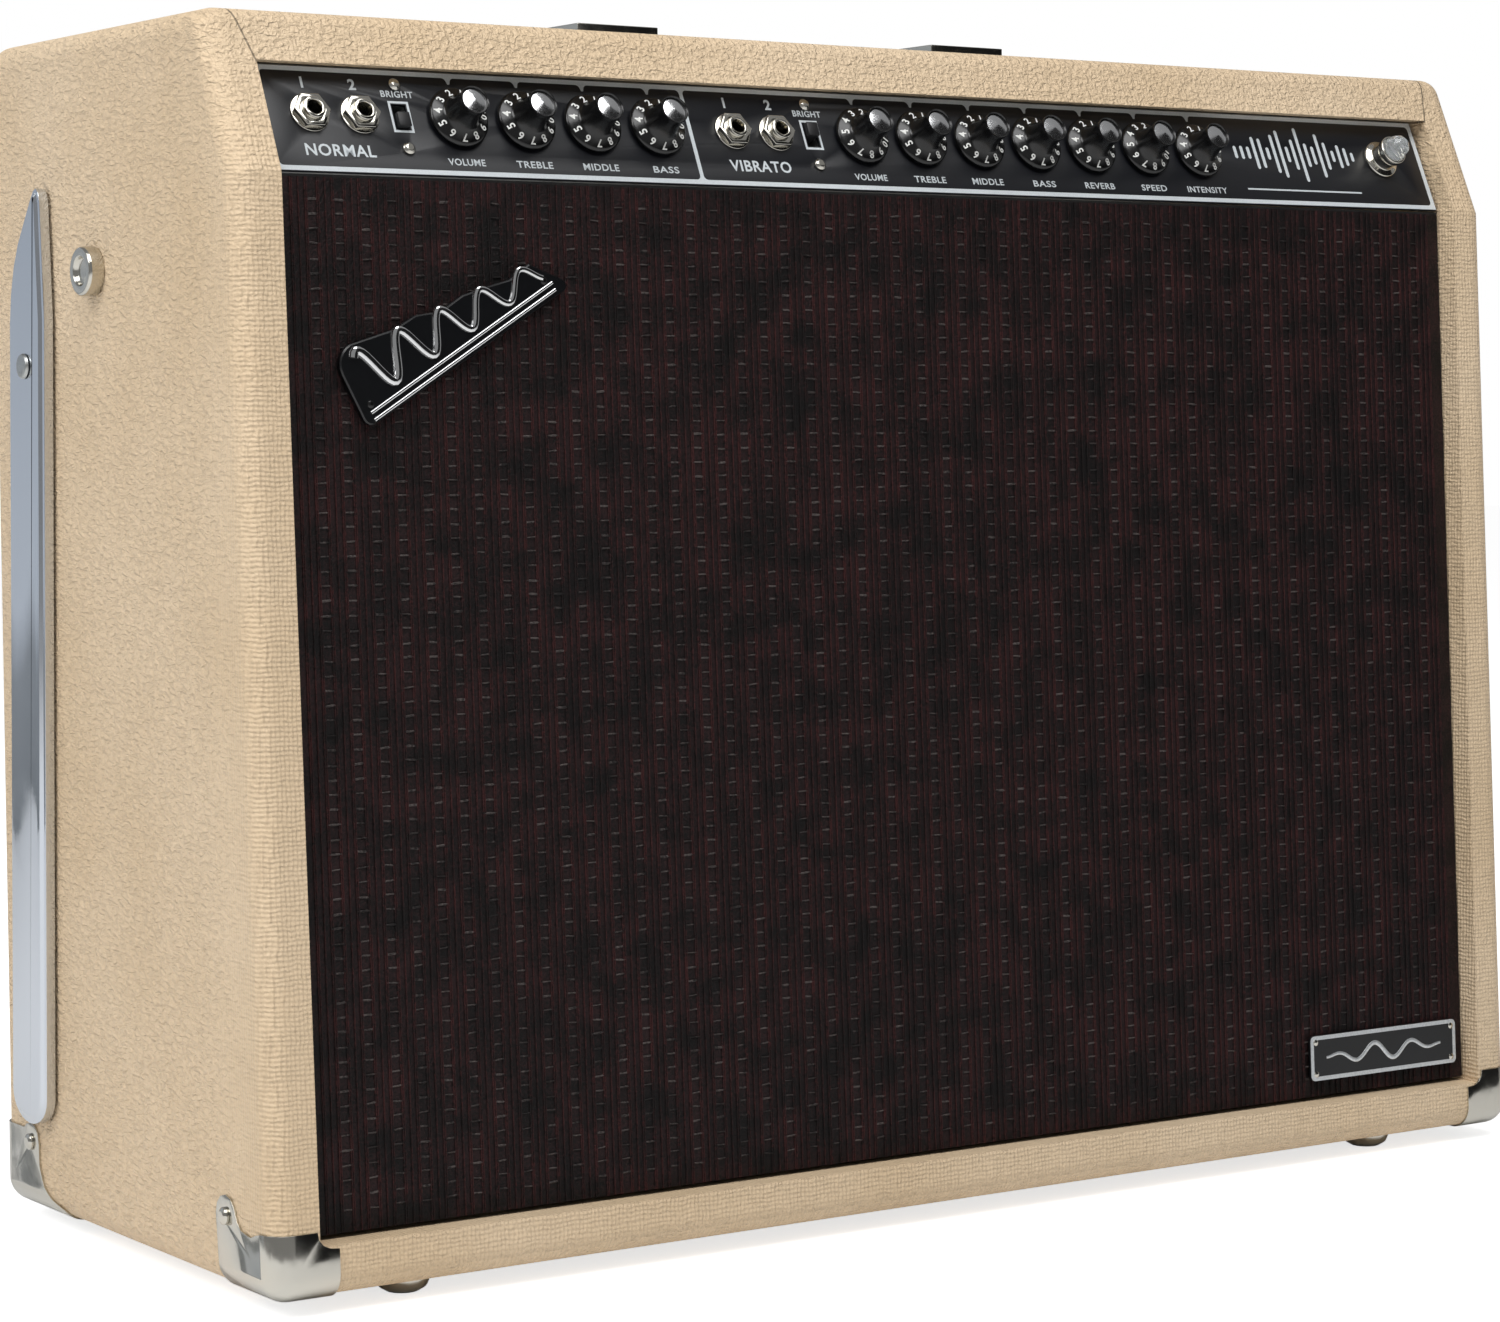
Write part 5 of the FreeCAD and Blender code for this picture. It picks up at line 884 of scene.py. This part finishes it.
for side, name in ((-1, "left"), (1, "right")):
    low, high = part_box(f"tilt_leg_{name}")
    outer = high.x if side > 0 else -low.x
    bm = bmesh.new()
    plate = bm.faces.new([bm.verts.new((0, y, z)) for y, z in leg_outline()])
    bm.normal_update()
    if plate.normal.x < 0:
        plate.normal_flip()
    walls = bmesh.ops.extrude_face_region(bm, geom=[plate])
    outside = [item for item in walls["geom"] if isinstance(item, bmesh.types.BMFace)]
    bmesh.ops.translate(bm, verts=outside[0].verts, vec=(LEG_THICK - PROUD, 0, 0))
    bmesh.ops.inset_region(bm, faces=outside, thickness=RIM, depth=0)
    bmesh.ops.inset_region(bm, faces=outside, thickness=BEVEL, depth=PROUD)
    bmesh.ops.recalc_face_normals(bm, faces=bm.faces)
    inside = [face for face in bm.faces if face.normal.x < -0.9 and len(face.verts) > 8]
    bmesh.ops.inset_region(bm, faces=inside, thickness=LEG_WALL, depth=-(LEG_THICK - PROUD - LEG_WALL))
    blank = linked("leg_blank", baked(bm, "leg_pressing"))
    rim = blank.modifiers.new("rounded_rims", "BEVEL")
    rim.width, rim.segments, rim.angle_limit = 0.0006, 3, math.radians(25)
    pressing = plain_mesh(blank)
    bpy.data.objects.remove(blank)
    face_turn = Matrix(((0, 0, 1, 0), (1, 0, 0, 0), (0, 1, 0, 0), (0, 0, 0, 1)))
    bead = wire([(-0.0005, 0.046), (0.0005, -0.02), (0.0015, -0.16)], [0.0013, 0.0013, 0.0005], 0.42)
    mark = stencil([[(0, 0.0075), (-0.0032, 0), (0, -0.0075), (0.0032, 0)],
                    [(0, 0.0055), (-0.0022, 0), (0, -0.0055), (0.0022, 0)]], 0.0002)
    on_face = Matrix.Translation((LEG_THICK - 0.0004, 0, 0)) @ face_turn
    parts = [(pressing, chrome, Matrix()), (bead, chrome, on_face @ Matrix.Translation((0, 0, -0.0002))),
             (mark, chrome, on_face @ Matrix.Translation((0.0015, -0.183, 0.0001)))]
    pivot = Vector(joints[f"{name}_leg_swing"]["pos_m"])
    hang = Matrix.Translation((outer - LEG_THICK, pivot.y, pivot.z)) @ Matrix.Rotation(LEG_LEAN, 4, "X")
    leg = assembled(f"tilt_leg_{name}", parts, 20)
    leg.transform(hang)
    if side < 0:
        leg.transform(Matrix.Scale(-1, 4, (1, 0, 0)))
        leg.flip_normals()
    show(f"tilt_leg_{name}_pressed", leg, f"tilt_leg_{name}")
deburred("leg_pivot_screws", zinc, edge=0.0003)


# Studio: a white floor and white surroundings, which only the camera sees at full brightness, two soft lights, two
# cards that the camera doesn't see but the metal mirrors, and a camera to the amplifier's left front.
def lit(name, place, target, size, power, colour="#ffffff"):
    """A rectangular softbox aimed at a point."""
    data = bpy.data.lights.new(name, "AREA")
    data.shape, data.size, data.size_y = "RECTANGLE", size[0], size[1]
    data.energy, data.color = power, linear(colour)[:3]
    lamp = linked(name, data)
    lamp.location = place
    lamp.rotation_euler = (Vector(target) - Vector(place)).to_track_quat("-Z", "Y").to_euler()


floor_mesh = bpy.data.meshes.new("studio_floor")
floor_mesh.from_pydata([(-9, -9, 0), (9, -9, 0), (9, 9, 0), (-9, 9, 0)], [], [(0, 1, 2, 3)])
floor = linked("studio_floor", floor_mesh)
paper_white, tree, shader, place = finish("white_studio_paper", Base_Color=linear("#fdfdfd"), Roughness=0.75,
                                          Emission_Color=linear("#ffffff"))
seen = add(tree, "ShaderNodeMath", {0: add(tree, "ShaderNodeLightPath").outputs["Is Camera Ray"], 1: 0.72},
           operation="MULTIPLY")
tree.links.new(seen.outputs[0], shader.inputs["Emission Strength"])
fibre = add(tree, "ShaderNodeTexNoise", {"Vector": place, "Scale": 900.0, "Detail": 2.0})
raise_by(tree, shader, fibre.outputs["Fac"], 0.05, 0.0001)
floor_mesh.materials.append(paper_white)

world = bpy.data.worlds.new("white_studio")
world.use_nodes = True
sky = world.node_tree
seen_or_lit = add(sky, "ShaderNodeMapRange", {"Value": add(sky, "ShaderNodeLightPath").outputs["Is Camera Ray"],
                                              "To Min": 0.26, "To Max": 1.0})
sky.links.new(seen_or_lit.outputs[0], sky.nodes["Background"].inputs["Strength"])
sky.nodes["Background"].inputs["Color"].default_value = linear("#ffffff")
bpy.context.scene.world = world
bpy.context.scene.view_settings.view_transform = "Standard"

lit("left_softbox", (-2.0, -0.1, 1.75), (-0.3, 0, 0.42), (1.0, 1.2), 19)
lit("top_softbox", (-0.4, -1.1, 2.3), (0, 0, 0.25), (2.2, 1.4), 43)

# A grey card behind the left side gives the leg's chrome something even to mirror, darker towards the floor.
card_mesh = bpy.data.meshes.new("grey_card")
card_mesh.from_pydata([(-2.2, 0.75, 0), (-0.45, 1.95, 0), (-0.45, 1.95, 1.3), (-2.2, 0.75, 1.3)], [], [(0, 1, 2, 3)])
card = linked("grey_card", card_mesh)
card_grey, tree, shader, place = finish("graded_grey_card", Base_Color=linear("#101010"), Emission_Strength=1.0)
height = add(tree, "ShaderNodeSeparateXYZ", {"Vector": place})
graded = add(tree, "ShaderNodeValToRGB", {"Fac": height.outputs["Z"]},
             stops=((0.0, "#7d8184"), (0.14, "#8b8f93"), (0.20, "#c0c5cc"), (0.60, "#aab1ba")))
tree.links.new(graded.outputs[0], shader.inputs["Emission Color"])
card_mesh.materials.append(card_grey)
card.visible_camera = False

# A black flag to the front right keeps the metal and the dark panel from washing out.
flag_mesh = bpy.data.meshes.new("black_flag")
flag_mesh.from_pydata([(0.7, -3.0, 0.0), (3.4, -1.6, 0.0), (3.4, -1.6, 2.6), (0.7, -3.0, 2.6)], [], [(0, 1, 2, 3)])
flag_mesh.materials.append(knob_black)
flag = linked("black_flag", flag_mesh)
flag.visible_camera = False

camera_data = bpy.data.cameras.new("camera")
camera = linked("camera", camera_data)
SENSOR = 36.0
camera_data.sensor_width = SENSOR
camera_data.lens = SENSOR * 2.5466
camera.location = (-1.0066, -1.4516, 0.3552)
camera.rotation_euler = (math.radians(90 - 3.739), 0, math.radians(-34.138))
camera.rotation_euler = (camera.rotation_euler.to_matrix() @ Matrix.Rotation(math.radians(-0.292), 3, "Z")).to_euler()
bpy.context.scene.camera = camera
